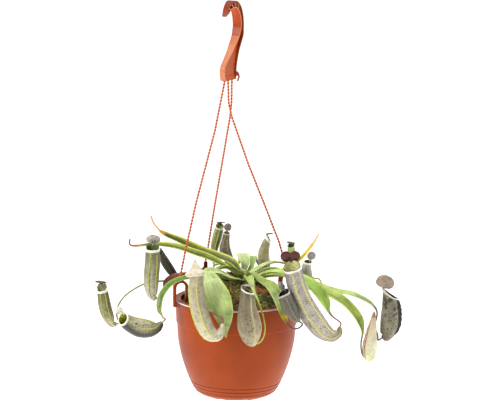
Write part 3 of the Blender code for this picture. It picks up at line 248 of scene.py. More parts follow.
PITCHERS = [
    Pitcher("pitcher_far_left", [(-134, -8, 80, 2), (-139, -9, 80, 3.9), (-143, -10, 88, 6.4),
            (-147, -10, 100, 7.2), (-149, -9, 111, 6.6), (-150, -8, 116.5, 6)], "pitcher_olive",
            ("E9E2C6", "96916C", "66683F"), ("35332A", 0.75), rise=10, lid=(5.6, 6.8),
            lid_to=(0, -1, 0.1), lid_face=(0.1, 0.1, 1), lid_colour="53252A", lip=("F4F1E6", "5A6430"),
            inside="CCD296", wing="A9AE52", striped=0.45),
    Pitcher("pitcher_left_lying", [(-82, -46, 91, 2.4), (-87, -46, 86, 6), (-95, -46, 84, 9.6),
            (-106, -47, 85, 10.8), (-117, -50, 90, 9.2), (-124, -55, 96, 7.3)], "pitcher_grey",
            ("7E7460", "ABA48C", "B2AC94"), ("2E2A22", 0.8), hinge=(0, 0.5, 1), rise=3, lid=(4.6, 4.8),
            lid_to=(-1, 0.1, 0.5), lid_face=(0.3, -0.8, 0.8), lid_colour="D4CFBE", band=(0.7, 1.5),
            inside="D0D24E", wing="B9BE4C", wing_at=(285, 30), shaded=1.1),
    Pitcher("pitcher_left_upright", [(-90, 4, 107, 2), (-94, 4, 109, 4.8), (-96, 4, 119, 7.8),
            (-96, 4, 134, 8.8), (-95, 5, 149, 8.7), (-95, 6, 162, 8.2)], "pitcher_pale",
            ("ECE8D4", "C2BEA2", "76735A"), ("3A372C", 0.8), rise=6, lid=(6, 8), lid_to=(0.05, -0.6, 1),
            lid_face=(0, -1, -0.5), lid_colour="B8B2A4", lip=("F4F1E6", "4A5426"), inside="6A7838",
            wing="A9B446", wing_at=(191, 27), shaded=0.3),
    Pitcher("pitcher_left_withered", [(-66, 22, 126, 1.8), (-72, 22, 132, 4.4), (-80, 23, 143, 5.2),
            (-86, 25, 153, 4)], "pitcher_brown", ("6A4A38", "55503F", "6A665A"), ("2A2620", 0.7),
            hinge=(0.5, 0.8, 0), rise=4, lid=(3, 3.2), lid_to=(-0.6, -0.6, 0.5), lid_face=(0, 0.5, 1),
            lid_colour="4A423A", band=(0, 1), lip=("6E6A5C", "4A463C"), lip_wide=0.6, inside="3A3226",
            wing="77684E", striped=0.2),
    Pitcher("pitcher_front_left", [(-15, -85, 100, 1.8), (-15.5, -86.5, 94, 3.8), (-20, -88.5, 88, 6.6),
            (-28, -89, 90, 8.4), (-34, -88.5, 99, 9), (-39, -87, 112, 9), (-42, -85, 124, 9),
            (-44, -82, 138, 8.8), (-44, -79, 149, 8), (-44.5, -78, 153.5, 11), (-45, -77, 159, 6.4),
            (-46, -76, 165, 2.4), (-46, -76, 169, 0.9)], "pitcher_pale", ("D9D2B4", "B4A98C", "A39A80"),
            ("6B5E48", 0.6), open=False, wing="C6CB66", wings=(1.5, 0.2, 0.62), wing_at=(147, 38)),
    Pitcher("pitcher_front", [(19, -80, 78, 2), (18, -83.5, 79, 5.2), (16.5, -87, 84.5, 9.6),
            (15, -87.9, 95, 13.1), (13.5, -88, 105, 12.8), (12, -87, 117, 10.2), (12, -85, 126, 8.4),
            (12, -83, 133, 7.4)], "pitcher_olive", ("B9AE88", "A09474", "746A50"), ("3C362A", 0.85),
            hinge=(-0.8, 0.6, 0), rise=8, lid=(7.6, 7.6), lid_to=(0.9, -0.4, 0.1),
            lid_face=(-0.1, 0.18, 1), lid_colour="8C867C", band=(0.5, 1.2), lip=("F4F2E8", "D8D4C0"),
            inside="7C8A3E", wing="C4B88C", wings=(0.6, 0.15, 0.92), striped=0.4),
    Pitcher("pitcher_back_green", [(-27, 63, 137, 1.8), (-27, 63, 152, 4.3), (-24, 63, 166, 5.5),
            (-21.5, 63, 177, 5)], "pitcher_green", ("94A04C", "8C8E58", "84865C"), ("3E4420", 0.6),
            rise=5, lid=(4, 5), lid_to=(0, -1, 0.1), lid_face=(0, 0.1, 1), lid_colour="3E342C",
            band=(0.4, 1.2), lip=("DCE0B0", "6A7A3A"), inside="A8B468", wing="C8D070", wing_at=(160, 27),
            striped=0.7),
    Pitcher("pitcher_back_brown", [(-4, 49, 137, 2), (-10, 50, 144, 5.6), (-14.5, 51, 155, 6.5),
            (-14, 52, 165, 4.6), (-13, 52, 173, 3.8)], "pitcher_brown", ("7E7656", "665C42", "6C644A"),
            ("C4BCA4", 0.5), rise=2, lid=(4.2, 4.2), lid_to=(0.2, 0.1, 1), lid_face=(0.2, -1, 0.1),
            lid_colour="8C7C70", band=(0.3, 1), lip=("BDB49C", "7A705C"), lip_wide=0.6, wing="8E8468",
            striped=0.2),
    Pitcher("pitcher_back_centre", [(35, 56, 128, 2), (31.5, 55, 136, 6), (29, 55, 148, 6.4),
            (31, 55, 159, 5), (34, 55, 166, 4)], "pitcher_olive", ("B4AA82", "C4BA90", "A8A47A"),
            ("454030", 0.75), hinge=(-1, 0.2, 0), rise=5, lid=(3.2, 3), lid_to=(1, -0.2, 0.1),
            lid_face=(-0.1, 0, 1), lid_colour="4A4238", lip=("F2EFE2", "8A8A6A"), lip_wide=0.7,
            wing="A8A070", striped=0.15),
    Pitcher("pitcher_front_right", [(114.5, -41, 88, 2), (113.5, -42, 82, 4.4), (106, -44, 79, 7.2),
            (95, -48, 86, 10.4), (86, -53, 98, 11.6), (77, -58, 112, 11.8), (70, -60, 126, 11),
            (65, -59, 140, 10.4), (61, -57, 155, 9.6)], "pitcher_grey", ("A2927A", "BEB2A8", "A89E98"),
            ("40342F", 0.9), rise=10, lid=(6.8, 12), lid_to=(-0.05, -0.3, 1), lid_face=(0, -1, -0.2),
            lid_colour="56231A", lobes=radians(50), band=(0.9, 2.6), lip=("3E2620", "3E2620"),
            lip_wide=0.55, inside="DCDC96", wing="C9CB74", wings=(1.6, 0.08, 0.9), wing_at=(197, 27),
            striped=0.8, shaded=0.4),
    Pitcher("pitcher_back_small", [(65, 30, 137, 1.8), (63, 30, 146, 4.2), (61, 30, 156, 4.6),
            (60, 30, 163, 4)], "pitcher_green", ("A8B878", "8E9A60", "A6B678"), ("4E5232", 0.4), rise=4,
            lid=(4, 5), lid_to=(0.2, -1, -0.1), lid_face=(0.2, -0.1, 1), lid_colour="3A322C",
            band=(0.2, 1), lip=("C8D096", "8A9858"), lip_wide=0.6, inside="8FA850", striped=0),
    Pitcher("pitcher_right_grey", [(69, -72, 101, 1.8), (65, -73, 105, 5.2), (60, -73, 113, 7.8),
            (55.5, -72, 122, 8), (52.5, -70, 129, 7.4)], "pitcher_grey", ("716B5B", "635F54", "6E685C"),
            ("3A342C", 0.8), hinge=(0.2, 0.9, 0.2), rise=7, lid=(4.6, 5), lid_to=(-0.7, -0.1, 0.6),
            lid_face=(0.5, -0.5, 0.7), lid_colour="8E8880", band=(0.5, 1.5), lip=("A8A698", "8A887A"),
            lip_wide=0.5, inside="16180C", wing="8A8470", striped=0),
    Pitcher("pitcher_right_back", [(87, 32, 127, 1.8), (82, 32, 127, 4.4), (79, 32, 133, 5.6),
            (78, 32, 140, 5.2), (79, 32, 145, 5.2)], "pitcher_olive", ("A8B04C", "ACA898", "C2BEB4"),
            ("4A443C", 0.7), hinge=(0.6, 0.8, 0), rise=3, lid=(4.6, 4.8), lid_to=(0.2, -0.1, 1),
            lid_face=(0.2, -1, 0.2), lid_colour="9A9492", band=(0.9, 1.8), lip=("F4F2E8", "D8D4C8"),
            wing="8A8A60", striped=0),
    Pitcher("pitcher_bud", [(148, -18.5, 48, 1.8), (149, -22.5, 50, 6), (149, -24, 60, 8.3),
            (150, -24, 74, 6.8), (152, -24, 91, 3.8), (153, -24, 102, 1.2)], "pitcher_cream",
            ("D0DA96", "E6E2C0", "C9B48E"), ("BFAF8A", 0.4), open=False, wings=(0.8, 0.1, 0.8),
            wing="9A5A44", wing_at=(118, 14), shaded=0.1),
    Pitcher("pitcher_far_right", [(163, -12, 70, 2.2), (167, -12, 72.5, 7.2), (171, -12, 84, 10.9),
            (172, -12, 97, 11), (171.8, -12, 108, 9.8), (171.6, -12, 115, 8.6)], "pitcher_grey",
            ("8A7E64", "9C977F", "8E8B72"), ("2E2820", 0.95), hinge=(-1, 0, 0.1), rise=11,
            lid=(7.4, 10.2), lid_to=(0.25, 0, 1), lid_face=(0, -1, 0.2), lid_colour="9C8A78",
            band=(0.5, 1), lip=("E8E4D4", "B8B29C"), inside="2E3318", wing="2E2A24",
            wings=(2.4, 0.3, 0.98), wing_at=(156, 10), striped=0.95, blotched=0.62, shaded=0.4,
            hairs=True),
]


# Colours, settings and nodes

def linear(channel):
    return channel / 12.92 if channel <= 0.04045 else ((channel + 0.055) / 1.055) ** 2.4


def paint(code):
    """An sRGB hex colour as linear red, green, blue and alpha."""
    return (*(linear(int(code[i:i + 2], 16) / 255) for i in (0, 2, 4)), 1)


def colour_setting(name, description, code):
    return bpy.props.FloatVectorProperty(name=name, description=description, subtype="COLOR", size=4,
                                         min=0, max=1, default=paint(code))


def length_setting(name, description, millimetres):
    return bpy.props.FloatProperty(name=name, description=description, default=millimetres * MM,
                                   unit="LENGTH", min=0)


class PotSettings(bpy.types.PropertyGroup):
    """Sizes and colours of the pot and what it is filled with."""
    plastic: colour_setting("Pot Plastic", "Colour of the moulded pot", "943B08")
    plastic_deep: colour_setting("Shaded Plastic", "Colour of the pot's thicker parts", "7A2D05")
    groove_depth: length_setting("Groove Depth", "Depth of the grooves above the foot", 0.7)
    wall: length_setting("Wall", "Thickness of the pot's wall", 1.8)
    peat: colour_setting("Peat", "Colour of the damp peat", "1C140F")
    fibre: colour_setting("Fibre", "Colour of the coir fibres in the mix", "7A4A2C")
    moss: colour_setting("Moss", "Colour of the living moss", "D6D468")
    bark: colour_setting("Bark", "Colour of the bark chips", "DA8C4C")


class HangerSettings(bpy.types.PropertyGroup):
    """Sizes and colours of the hook, the strands and the rim clips."""
    plastic: colour_setting("Hanger Plastic", "Colour of the hook and the clips", "A94510")
    # The next colour is a painted highlight and the one after it painted shade; the latter also clouds the
    # plain plastic
    plastic_pale: colour_setting("Thin Plastic", "Colour where the plastic is thin and lets light in",
                                 "BE7A5A")
    plastic_deep: colour_setting("Thick Plastic", "Colour where the plastic is thick", "5E1C0C")
    cord: colour_setting("Cord", "Colour of the twisted strands", "EE8246")
    # Cord Shade is also painted shade in the crevices between the plies
    cord_shade: colour_setting("Cord Shade", "Colour between the plies", "B04A22")
    ply_pitch: length_setting("Ply Pitch", "Length of one turn of the plies", 7.4)


class PlantSettings(bpy.types.PropertyGroup):
    """Sizes and colours of the leaves and the pitchers."""
    blade_thickness: length_setting("Blade Thickness", "Thickness of a leaf beside its midrib", 0.5)
    midrib: length_setting("Midrib", "How far the midrib stands out below the blade", 0.8)
    leaf: colour_setting("Leaf", "Colour of a grown leaf's upper side", "8CA24A")
    leaf_new: colour_setting("New Leaf", "Colour of a young or sunlit leaf", "A9BC72")
    leaf_old: colour_setting("Old Leaf", "Colour of an old leaf", "5F7630")
    leaf_withered: colour_setting("Withered Leaf", "Colour of a dried leaf", "C09A3E")
    pitcher_wall: length_setting("Pitcher Wall", "Thickness of a pitcher's wall", 1.0)
    lid_thickness: length_setting("Lid Thickness", "Thickness of a pitcher's lid", 0.6)
    lip_ribs: bpy.props.IntProperty(name="Lip Ribs", description="Ribs round a pitcher's rolled lip",
                                    default=36, min=8)


class StageSettings(bpy.types.PropertyGroup):
    """Where the plant is looked at from, and what lies below it."""
    distance: length_setting("Distance", "From the camera to the plant", 3000)
    pitch: bpy.props.FloatProperty(name="Pitch", description="How far down the camera looks",
                                   default=radians(10.34), subtype="ANGLE", unit="ROTATION")
    lens: bpy.props.FloatProperty(name="Focal Length", default=194.2, min=10,
                                  description="Focal length in millimetres on a 36 mm sensor")
    drop: length_setting("Drop", "From the pot's base down to the floor", 420)
    floor: colour_setting("Floor", "Colour of the paper floor", "F6F6F6")


def node(tree, kind, inputs=None, stops=(), **settings):
    """A shader node with its settings, and its inputs set or linked from other nodes."""
    made = tree.nodes.new("ShaderNode" + kind)
    for key, value in settings.items():
        setattr(made, key, value)
    for i, (place, colour) in enumerate(stops):
        element = made.color_ramp.elements[i] if i < 2 else made.color_ramp.elements.new(place)
        element.position, element.color = place, colour
    for key, value in (inputs or {}).items():
        if isinstance(value, bpy.types.Node):
            value = value.outputs[2 if value.bl_idname == "ShaderNodeMix" else 0]
        if isinstance(value, bpy.types.NodeSocket):
            tree.links.new(value, made.inputs[key])
        else:
            made.inputs[key].default_value = value
    return made


def new_finish(name, **shader):
    """A material, its node tree and its shader with the given plain inputs."""
    finish = bpy.data.materials.new(name)
    finish.use_nodes = True
    tree = finish.node_tree
    surface = tree.nodes["Principled BSDF"]
    for key, value in shader.items():
        surface.inputs[key.replace("_", " ")].default_value = value
    return finish, tree, surface


# Finishes

def moulded_plastic(name, colour, deep, roughness):
    """Injection-moulded polypropylene: even satin colour, cloudy in patches, fine grain."""
    finish, tree, surface = new_finish(name, Roughness=roughness, Specular_IOR_Level=0.16)
    place = node(tree, "TexCoord").outputs["Object"]
    cloud = node(tree, "TexNoise", {"Vector": place, "Scale": 1000 / 38, "Detail": 3})
    share = node(tree, "MapRange", {"Value": cloud, "From Min": 0.42, "From Max": 0.74, "To Max": 0.55})
    tint = node(tree, "Mix", {0: share, 6: colour, 7: deep}, data_type="RGBA")
    film = node(tree, "TexNoise", {"Vector": place, "Scale": 1000 / 9, "Detail": 5, "Roughness": 0.7})
    tree.links.new(tint.outputs[2], surface.inputs["Base Color"])
    worn = node(tree, "MapRange", {"Value": film, "To Min": roughness - 0.06, "To Max": roughness + 0.12})
    tree.links.new(worn.outputs[0], surface.inputs["Roughness"])
    pits = node(tree, "TexNoise", {"Vector": place, "Scale": 1000 / PLASTIC_GRAIN, "Detail": 2})
    relief = node(tree, "Bump", {"Height": pits, "Strength": 0.12, "Distance": 0.0003})
    tree.links.new(relief.outputs[0], surface.inputs["Normal"])
    return finish


def spun_cord(name, colour, shade):
    """Twisted polypropylene twine: fine fibres along each ply, streaked light and dark."""
    finish, tree, surface = new_finish(name, Roughness=0.7, Sheen_Weight=0.15)
    where = node(tree, "UVMap")
    turn = node(tree, "Mapping", {"Vector": where, "Scale": (14, 900, 1)})
    fibres = node(tree, "TexNoise", {"Vector": turn, "Scale": 1, "Detail": 2})
    tint = node(tree, "ValToRGB", {"Fac": fibres}, stops=((0.3, shade), (0.62, colour)))
    tree.links.new(tint.outputs[0], surface.inputs["Base Color"])
    relief = node(tree, "Bump", {"Height": fibres, "Strength": 0.6, "Distance": 0.0003})
    tree.links.new(relief.outputs[0], surface.inputs["Normal"])
    return finish


def crumbly(name, dark, light, grain, roughness=0.95, depth=0.8):
    """Peat, bark or moss: crumbs and fibres of two colours with a rough broken surface."""
    finish, tree, surface = new_finish(name, Roughness=roughness)
    place = node(tree, "TexCoord").outputs["Object"]
    crumbs = node(tree, "TexNoise", {"Vector": place, "Scale": 1000 / grain, "Detail": 6, "Roughness": 0.68})
    tint = node(tree, "ValToRGB", {"Fac": crumbs}, stops=((0.34, dark), (0.72, light)))
    tree.links.new(tint.outputs[0], surface.inputs["Base Color"])
    relief = node(tree, "Bump", {"Height": crumbs, "Strength": 0.8, "Distance": depth * MM})
    tree.links.new(relief.outputs[0], surface.inputs["Normal"])
    return finish


def leaf_blade(name, leaf, colour, under):
    """A waxy leaf: midrib, faint veins along the blade, a yellow margin and a tip that browns."""
    finish, tree, surface = new_finish(name, Roughness=0.36, IOR=1.45)
    uv = node(tree, "SeparateXYZ", {0: node(tree, "UVMap")})
    across, along = uv.outputs[0], uv.outputs[1]
    off = node(tree, "Math", {0: across, 1: 0.5}, operation="SUBTRACT")
    off = node(tree, "Math", {0: off}, operation="ABSOLUTE")
    off = node(tree, "Math", {0: off, 1: 2}, operation="MULTIPLY")
    place = node(tree, "TexCoord").outputs["Object"]
    cloud = node(tree, "TexNoise", {"Vector": place, "Scale": 1000 / 14, "Detail": 5, "Roughness": 0.6})
    dark = [c * share for c, share in zip(colour, (0.34, 0.42, 0.34))] + [1]
    light = [min(1, c * 1.35 + 0.02) for c in colour[:3]] + [1]
    tint = node(tree, "ValToRGB", {"Fac": cloud}, stops=((0.32, dark), (0.7, light), (0.5, colour)))
    lines = node(tree, "Math", {0: node(tree, "Math", {0: off, 1: 34}, operation="MULTIPLY")},
                 operation="SINE")
    streaks = node(tree, "Mapping", {"Vector": node(tree, "UVMap"), "Scale": (26, 2.2, 1)})
    streak = node(tree, "TexNoise", {"Vector": streaks, "Scale": 1, "Detail": 2})
    vein = node(tree, "MapRange", {"Value": streak, "From Min": 0.5, "From Max": 0.68, "To Max": 0.5})
    furrow = node(tree, "MapRange", {"Value": streak, "From Min": 0.32, "From Max": 0.46,
                                     "To Min": 0.25, "To Max": 0})
    rib_colour, rib_ends = leaf.trough
    rib = node(tree, "MapRange", {"Value": off, "From Min": rib_ends * 0.45, "From Max": rib_ends,
                                  "To Min": 0.75, "To Max": 0})
    edge_colour, edge_from = leaf.margin
    edge = node(tree, "MapRange", {"Value": off, "From Min": edge_from, "From Max": edge_from + 0.13,
                                   "To Max": 0.8})
    layers = [(vein, light), (furrow, dark), (rib, paint(rib_colour)), (edge, paint(edge_colour))]
    if under:
        layers.append((0.35, paint("B4BC86")))
    ragged = node(tree, "MapRange", {"Value": cloud, "To Min": -0.06, "To Max": 0.06})
    reach = node(tree, "Math", {0: along, 1: ragged}, operation="ADD")
    if leaf.tip:
        brown = node(tree, "MapRange", {"Value": reach, "From Min": leaf.tip_from,
                                        "From Max": leaf.tip_from + 0.07})
        layers.append((brown, paint(leaf.tip)))
    grown = node(tree, "MapRange", {"Value": reach, "From Min": 1, "From Max": 1.2})
    flecks = node(tree, "TexVoronoi", {"Vector": place, "Scale": 1000 / 6})
    fleck = node(tree, "MapRange", {"Value": flecks, "From Min": 0.05, "From Max": 0.11,
                                    "To Min": 0.7, "To Max": 0})
    layers += [(grown, paint(leaf.tail)), (fleck, paint("6A5A2A"))]
    for share, other in layers:
        tint = node(tree, "Mix", {0: share, 6: tint, 7: other}, data_type="RGBA")
    tree.links.new(tint.outputs[2], surface.inputs["Base Color"])
    relief = node(tree, "Bump", {"Height": lines, "Strength": 0.2, "Distance": 0.0004})
    tree.links.new(relief.outputs[0], surface.inputs["Normal"])
    return finish


def pitcher_wall(name, pitcher, collar_from):
    """A pitcher's outside: leathery and mottled, freckled with maroon, pale at its foot and under its lip,
    with painted shade on the side that its wings turn away from."""
    finish, tree, surface = new_finish(name, Roughness=0.44, Specular_IOR_Level=0.3)
    uv = node(tree, "SeparateXYZ", {0: node(tree, "UVMap")})
    around, along = uv.outputs[0], uv.outputs[1]
    place = node(tree, "TexCoord").outputs["Object"]
    foot, middle, top = (paint(code) for code in pitcher.wall)
    # deep is the colour of the painted shade, dusky that of the mottling
    deep, dusky = ([c * share for c in middle[:3]] + [1] for share in (0.07, 0.3))
    wings_at, apart = (degrees / 360 for degrees in pitcher.wing_at)
    tint = node(tree, "ValToRGB", {"Fac": along}, stops=((0.16, foot), (0.88, top), (0.46, middle)))
    cloud = node(tree, "TexNoise", {"Vector": place, "Scale": 1000 / 7, "Detail": 6, "Roughness": 0.66})
    turn = node(tree, "Math", {0: around, 1: wings_at - 0.5}, operation="SUBTRACT")
    turn = node(tree, "Math", {0: turn}, operation="FRACT")
    turn = node(tree, "Math", {0: turn, 1: 0.5}, operation="SUBTRACT")
    off = node(tree, "Math", {0: turn}, operation="ABSOLUTE")
    # Painted shade on the side away from the wings, where an underside lies in shade
    away = node(tree, "MapRange", {"Value": off, "From Min": apart + 0.01, "From Max": apart + 0.11,
                                   "To Max": pitcher.shaded * 0.86})
    shade = node(tree, "MapRange", {"Value": cloud, "From Min": 0.42, "From Max": 0.66, "To Max": 0.5})
    streaks = node(tree, "Mapping", {"Vector": node(tree, "UVMap"), "Scale": (30, 2.4, 1)})
    streak = node(tree, "TexNoise", {"Vector": streaks, "Scale": 1, "Detail": 3})
    pale = node(tree, "MapRange", {"Value": streak, "From Min": 0.5, "From Max": 0.7, "To Max": 0.45})
    beside = node(tree, "Math", {0: node(tree, "Math", {0: off, 1: apart}, operation="SUBTRACT")},
                  operation="ABSOLUTE")
    stripe = node(tree, "MapRange", {"Value": beside, "From Min": 0.01, "From Max": 0.032,
                                     "To Min": pitcher.striped, "To Max": 0})
    worn = node(tree, "MapRange", {"Value": streak, "From Min": 0.36, "From Max": 0.5})
    stripe = node(tree, "Math", {0: stripe, 1: worn}, operation="MULTIPLY")
    layers = [(shade, dusky), (pale, top), (away, deep), (stripe, paint(pitcher.wing))]
    spots, many = paint(pitcher.spots[0]), pitcher.spots[1]
    for size, most in ((5.2, pitcher.blotched), (2.2, 0.55)):
        cells = node(tree, "TexVoronoi", {"Vector": place, "Scale": 1000 / size, "Randomness": 1})
        cover = node(tree, "TexNoise", {"Vector": place, "Scale": 1000 / (5 * size), "Detail": 2})
        limit = node(tree, "MapRange", {"Value": cover, "From Min": 0.6 - 0.28 * many, "From Max": 0.72,
                                        "To Min": 0, "To Max": most})
        inside = node(tree, "Math", {0: limit, 1: cells.outputs["Distance"]}, operation="SUBTRACT")
        spot = node(tree, "MapRange", {"Value": inside, "From Min": 0, "From Max": 0.14, "To Max": 0.8})
        layers.append((spot, spots))
    freckles = node(tree, "TexNoise", {"Vector": place, "Scale": 1000 / 1.5, "Detail": 2})
    freckle = node(tree, "MapRange", {"Value": freckles, "From Min": 0.56, "From Max": 0.66,
                                      "To Max": 0.75 * many})
    layers.append((freckle, spots))
    if pitcher.open:
        ragged = node(tree, "MapRange", {"Value": cloud, "To Min": -0.008, "To Max": 0.008})
        reach = node(tree, "Math", {0: along, 1: ragged}, operation="ADD")
        collar = node(tree, "MapRange", {"Value": reach, "From Min": collar_from - 0.008,
                                         "From Max": collar_from + 0.008, "To Max": pitcher.band[0]})
        layers.append((collar, paint(PALE_BAND)))
    for share, other in layers:
        tint = node(tree, "Mix", {0: share, 6: tint, 7: other}, data_type="RGBA")
    tree.links.new(tint.outputs[2], surface.inputs["Base Color"])
    relief = node(tree, "Bump", {"Height": cloud, "Strength": 0.45, "Distance": 0.0006})
    tree.links.new(relief.outputs[0], surface.inputs["Normal"])
    return finish


def waxy(name, colour, other, roughness=0.3, grain=3.0, share=0.6):
    """A lip, a lid, a wing or a pitcher's inside: smooth and waxy, with blotches of a second colour."""
    finish, tree, surface = new_finish(name, Roughness=roughness, IOR=1.45)
    place = node(tree, "TexCoord").outputs["Object"]
    blotches = node(tree, "TexNoise", {"Vector": place, "Scale": 1000 / grain, "Detail": 4, "Roughness": 0.6})
    mixed = node(tree, "MapRange", {"Value": blotches, "From Min": 0.45, "From Max": 0.68, "To Max": share})
    tint = node(tree, "Mix", {0: mixed, 6: paint(colour), 7: paint(other)}, data_type="RGBA")
    tree.links.new(tint.outputs[2], surface.inputs["Base Color"])
    relief = node(tree, "Bump", {"Height": blotches, "Strength": 0.2, "Distance": 0.0003})
    tree.links.new(relief.outputs[0], surface.inputs["Normal"])
    return finish


def once(name, make, *how):
    """The finish of that name, made the first time that it is asked for."""
    return bpy.data.materials.get(name) or make(name, *how)


# Curves and shaping

def in_place(p):
    """A point of the plant's frame, in millimetres, as one of the model's frame, in metres."""
    return PLANT + Vector(p) * MM


def smooth(points, spans):
    """Catmull-Rom through points of any number of values, with that many steps to each span."""
    points = [Vector(p) for p in points]
    ends = [2 * points[0] - points[1]] + points + [2 * points[-1] - points[-2]]
    out = []
    for a, b, c, d in zip(ends, ends[1:], ends[2:], ends[3:]):
        for k in range(spans):
            t = k / spans
            out.append((2 * b + (c - a) * t + (2 * a - 5 * b + 4 * c - d) * t * t
                        + (3 * b - a - 3 * c + d) * t ** 3) / 2)
    return out + [points[-1]]


def stepped(route):
    """A route with each leg cut into equal parts of about STRAND_LEG."""
    out = []
    for a, b in zip(route, route[1:]):
        parts = max(1, round((b - a).length / STRAND_LEG + 0.4))
        out += [a.lerp(b, k / parts) for k in range(parts)]
    return out + [route[-1]]


def tangents(path):
    steps = [(b - a).normalized() for a, b in zip(path, path[1:])]
    return [(a + b).normalized() for a, b in zip(steps[:1] + steps, steps + steps[-1:])]


def square_to(direction, tangent):
    """The part of a direction that is square to the tangent, as a unit vector."""
    return (direction - direction.dot(tangent) * tangent).normalized()


def round_angles(sides):
    """Angles once round, ending where they start."""
    return [2 * pi * k / sides for k in range(sides + 1)]


def pick(*objs):
    """Selects these objects and nothing else, and makes the first one active."""
    bpy.ops.object.select_all(action="DESELECT")
    for obj in objs:
        obj.select_set(True)
    bpy.context.view_layer.objects.active = objs[0]


def applied(obj, kind, **settings):
    """Adds a modifier with its settings and applies it."""
    modifier = obj.modifiers.new(kind.title(), kind)
    for key, value in settings.items():
        setattr(modifier, key, value)
    pick(obj)
    bpy.ops.object.modifier_apply(modifier=modifier.name)


def eased(obj, width, angle):
    """Rounds the edges that are sharper than an angle in degrees."""
    applied(obj, "BEVEL", width=width * MM, segments=2, limit_method="ANGLE", angle_limit=radians(angle))


def cut(obj, cutter):
    applied(obj, "BOOLEAN", operation="DIFFERENCE", solver="EXACT", object=cutter)
    bpy.data.objects.remove(cutter)


def sewn(obj, angle=40):
    """Closes seams and poles, turns the faces outwards and shades the mesh smooth up to an angle."""
    pick(obj)
    bpy.ops.object.mode_set(mode="EDIT")
    bpy.ops.mesh.select_all(action="SELECT")
    bpy.ops.mesh.remove_doubles(threshold=0.000004)
    bpy.ops.mesh.normals_make_consistent(inside=False)
    bpy.ops.object.mode_set(mode="OBJECT")
    bpy.ops.object.shade_smooth_by_angle(angle=radians(angle))
    return obj


def drawn_out(name, rows, finishes, which=None, ends=True, v=None, angle=40):
    """A grid primitive laid along rows of points. Each row that ends where it starts makes a tube, closed to
    a point at both ends. v gives the rows' places in the UV map, which runs across each row in U. which(row,
    column) says which of several finishes a face has."""
    if ends:
        first, last = (sum((Vector(p) for p in row[1:]), Vector()) / (len(row) - 1)
                       for row in (rows[0], rows[-1]))
        rows = [[first] * len(rows[0])] + list(rows) + [[last] * len(rows[0])]
        v = v and [v[0]] + list(v) + [v[-1]]
    across = len(rows[0])
    bpy.ops.object.select_all(action="DESELECT")
    bpy.ops.mesh.primitive_grid_add(x_subdivisions=across - 1, y_subdivisions=len(rows) - 1, size=1)
    obj = bpy.context.object
    obj.name = obj.data.name = name
    obj.data.vertices.foreach_set("co", [c for row in rows for p in row for c in in_place(p)])
    if v:
        uv = obj.data.uv_layers.active.data
        for loop in obj.data.loops:
            row, column = divmod(loop.vertex_index, across)
            uv[loop.index].uv = (column / (across - 1), v[row])
    for finish in finishes if which else [finishes]:
        obj.data.materials.append(finish)
    if which:
        for polygon in obj.data.polygons:
            polygon.material_index = int(which(*divmod(polygon.index, across - 1)))
    return sewn(obj, angle)


def tube(name, path, radii, finish, sides=12, angle=60):
    """A round tube along a path, closed at both ends."""
    along = tangents(path)
    side = square_to(Vector((0.31, 0.17, 0.93)), along[0])
    rows = []
    for p, tangent, r in zip(path, along, radii):
        side = square_to(side, tangent)
        up = tangent.cross(side)
        rows.append([p + (side * cos(a) + up * sin(a)) * r for a in round_angles(sides)])
    return drawn_out(name, rows, finish, v=[k / (len(path) - 1) for k in range(len(path))], angle=angle)


def joined(name, objs):
    """Several objects made one."""
    if len(objs) > 1:
        pick(*objs)
        bpy.ops.object.join()
    objs[0].name = objs[0].data.name = name
    return objs[0]


def handed_over(obj, slot, *nodes):
    """Puts a finished piece on the model's body, in place of the CAD nodes that it stands for."""
    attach(obj, "root")
    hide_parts(*nodes)
    return obj


def shapes(name, points, faces, finish):
    """A mesh of many small loose shapes, given as points of the plant's frame and faces."""
    mesh = bpy.data.meshes.new(name)
    mesh.from_pydata([in_place(p) for p in points], [], faces)
    mesh.materials.append(finish)
    obj = bpy.data.objects.new(name, mesh)
    bpy.context.scene.collection.objects.link(obj)
    return obj


def block(name, corner, finish, round_by=0.3):
    """A cube with rounded edges, its corners placed by corner(x, y, z) for x, y and z of -1 or 1."""
    bpy.ops.object.select_all(action="DESELECT")
    bpy.ops.mesh.primitive_cube_add(size=2)
    obj = bpy.context.object
    obj.name = obj.data.name = name
    for vertex in obj.data.vertices:
        vertex.co = in_place(corner(*(round(c) for c in vertex.co)))
    obj.data.materials.append(finish)
    sewn(obj)
    applied(obj, "BEVEL", width=round_by * MM, segments=2)
    return obj


def spun(name, profile, steps, finish):
    """A closed outline of (radius, height) spun round the pot's axis."""
    bpy.ops.object.select_all(action="DESELECT")
    bpy.ops.mesh.primitive_circle_add(vertices=len(profile), fill_type="NOTHING")
    obj = bpy.context.object
    obj.name = obj.data.name = name
    for vertex, (r, z) in zip(obj.data.vertices, profile):
        vertex.co = in_place((r, 0, z))
    bpy.ops.object.mode_set(mode="EDIT")
    bpy.ops.mesh.select_all(action="SELECT")
    bpy.ops.mesh.spin(steps=steps, angle=2 * pi, center=in_place((0, 0, 0)), axis=(0, 0, 1))
    bpy.ops.object.mode_set(mode="OBJECT")
    obj.data.materials.append(finish)
    return sewn(obj, 35)


def sprig(points, faces, root, to, length, r, droop=0.3, sides=3, steps=3):
    """Adds a small bent spike, such as a moss leaf, a fibre or a hair, to lists of points and faces."""
    to = Vector(to).normalized()
    side = square_to(Vector((0.31, 0.9, 0.22)), to)
    up, start = to.cross(side), len(points)
    for k in range(steps):
        s = k / steps
        centre = Vector(root) + to * length * s - UP * droop * length * s * s
        points += [centre + (side * cos(a) + up * sin(a)) * r * (1 - s) ** 0.6
                   for a in (2 * pi * n / sides for n in range(sides))]
    points.append(Vector(root) + to * length - UP * droop * length)
    faces.append([start + n for n in reversed(range(sides))])
    for k in range(steps):
        low, high = start + k * sides, start + (k + 1) * sides
        for n in range(sides):
            m = (n + 1) % sides
            beyond = (high + m, high + n) if k < steps - 1 else (len(points) - 1,)
            faces.append([low + n, low + m, *beyond])


def mix_top(r):
    return MIX_EDGE_Z + MIX_RISE * (1 - (r / MIX_R) ** 2)


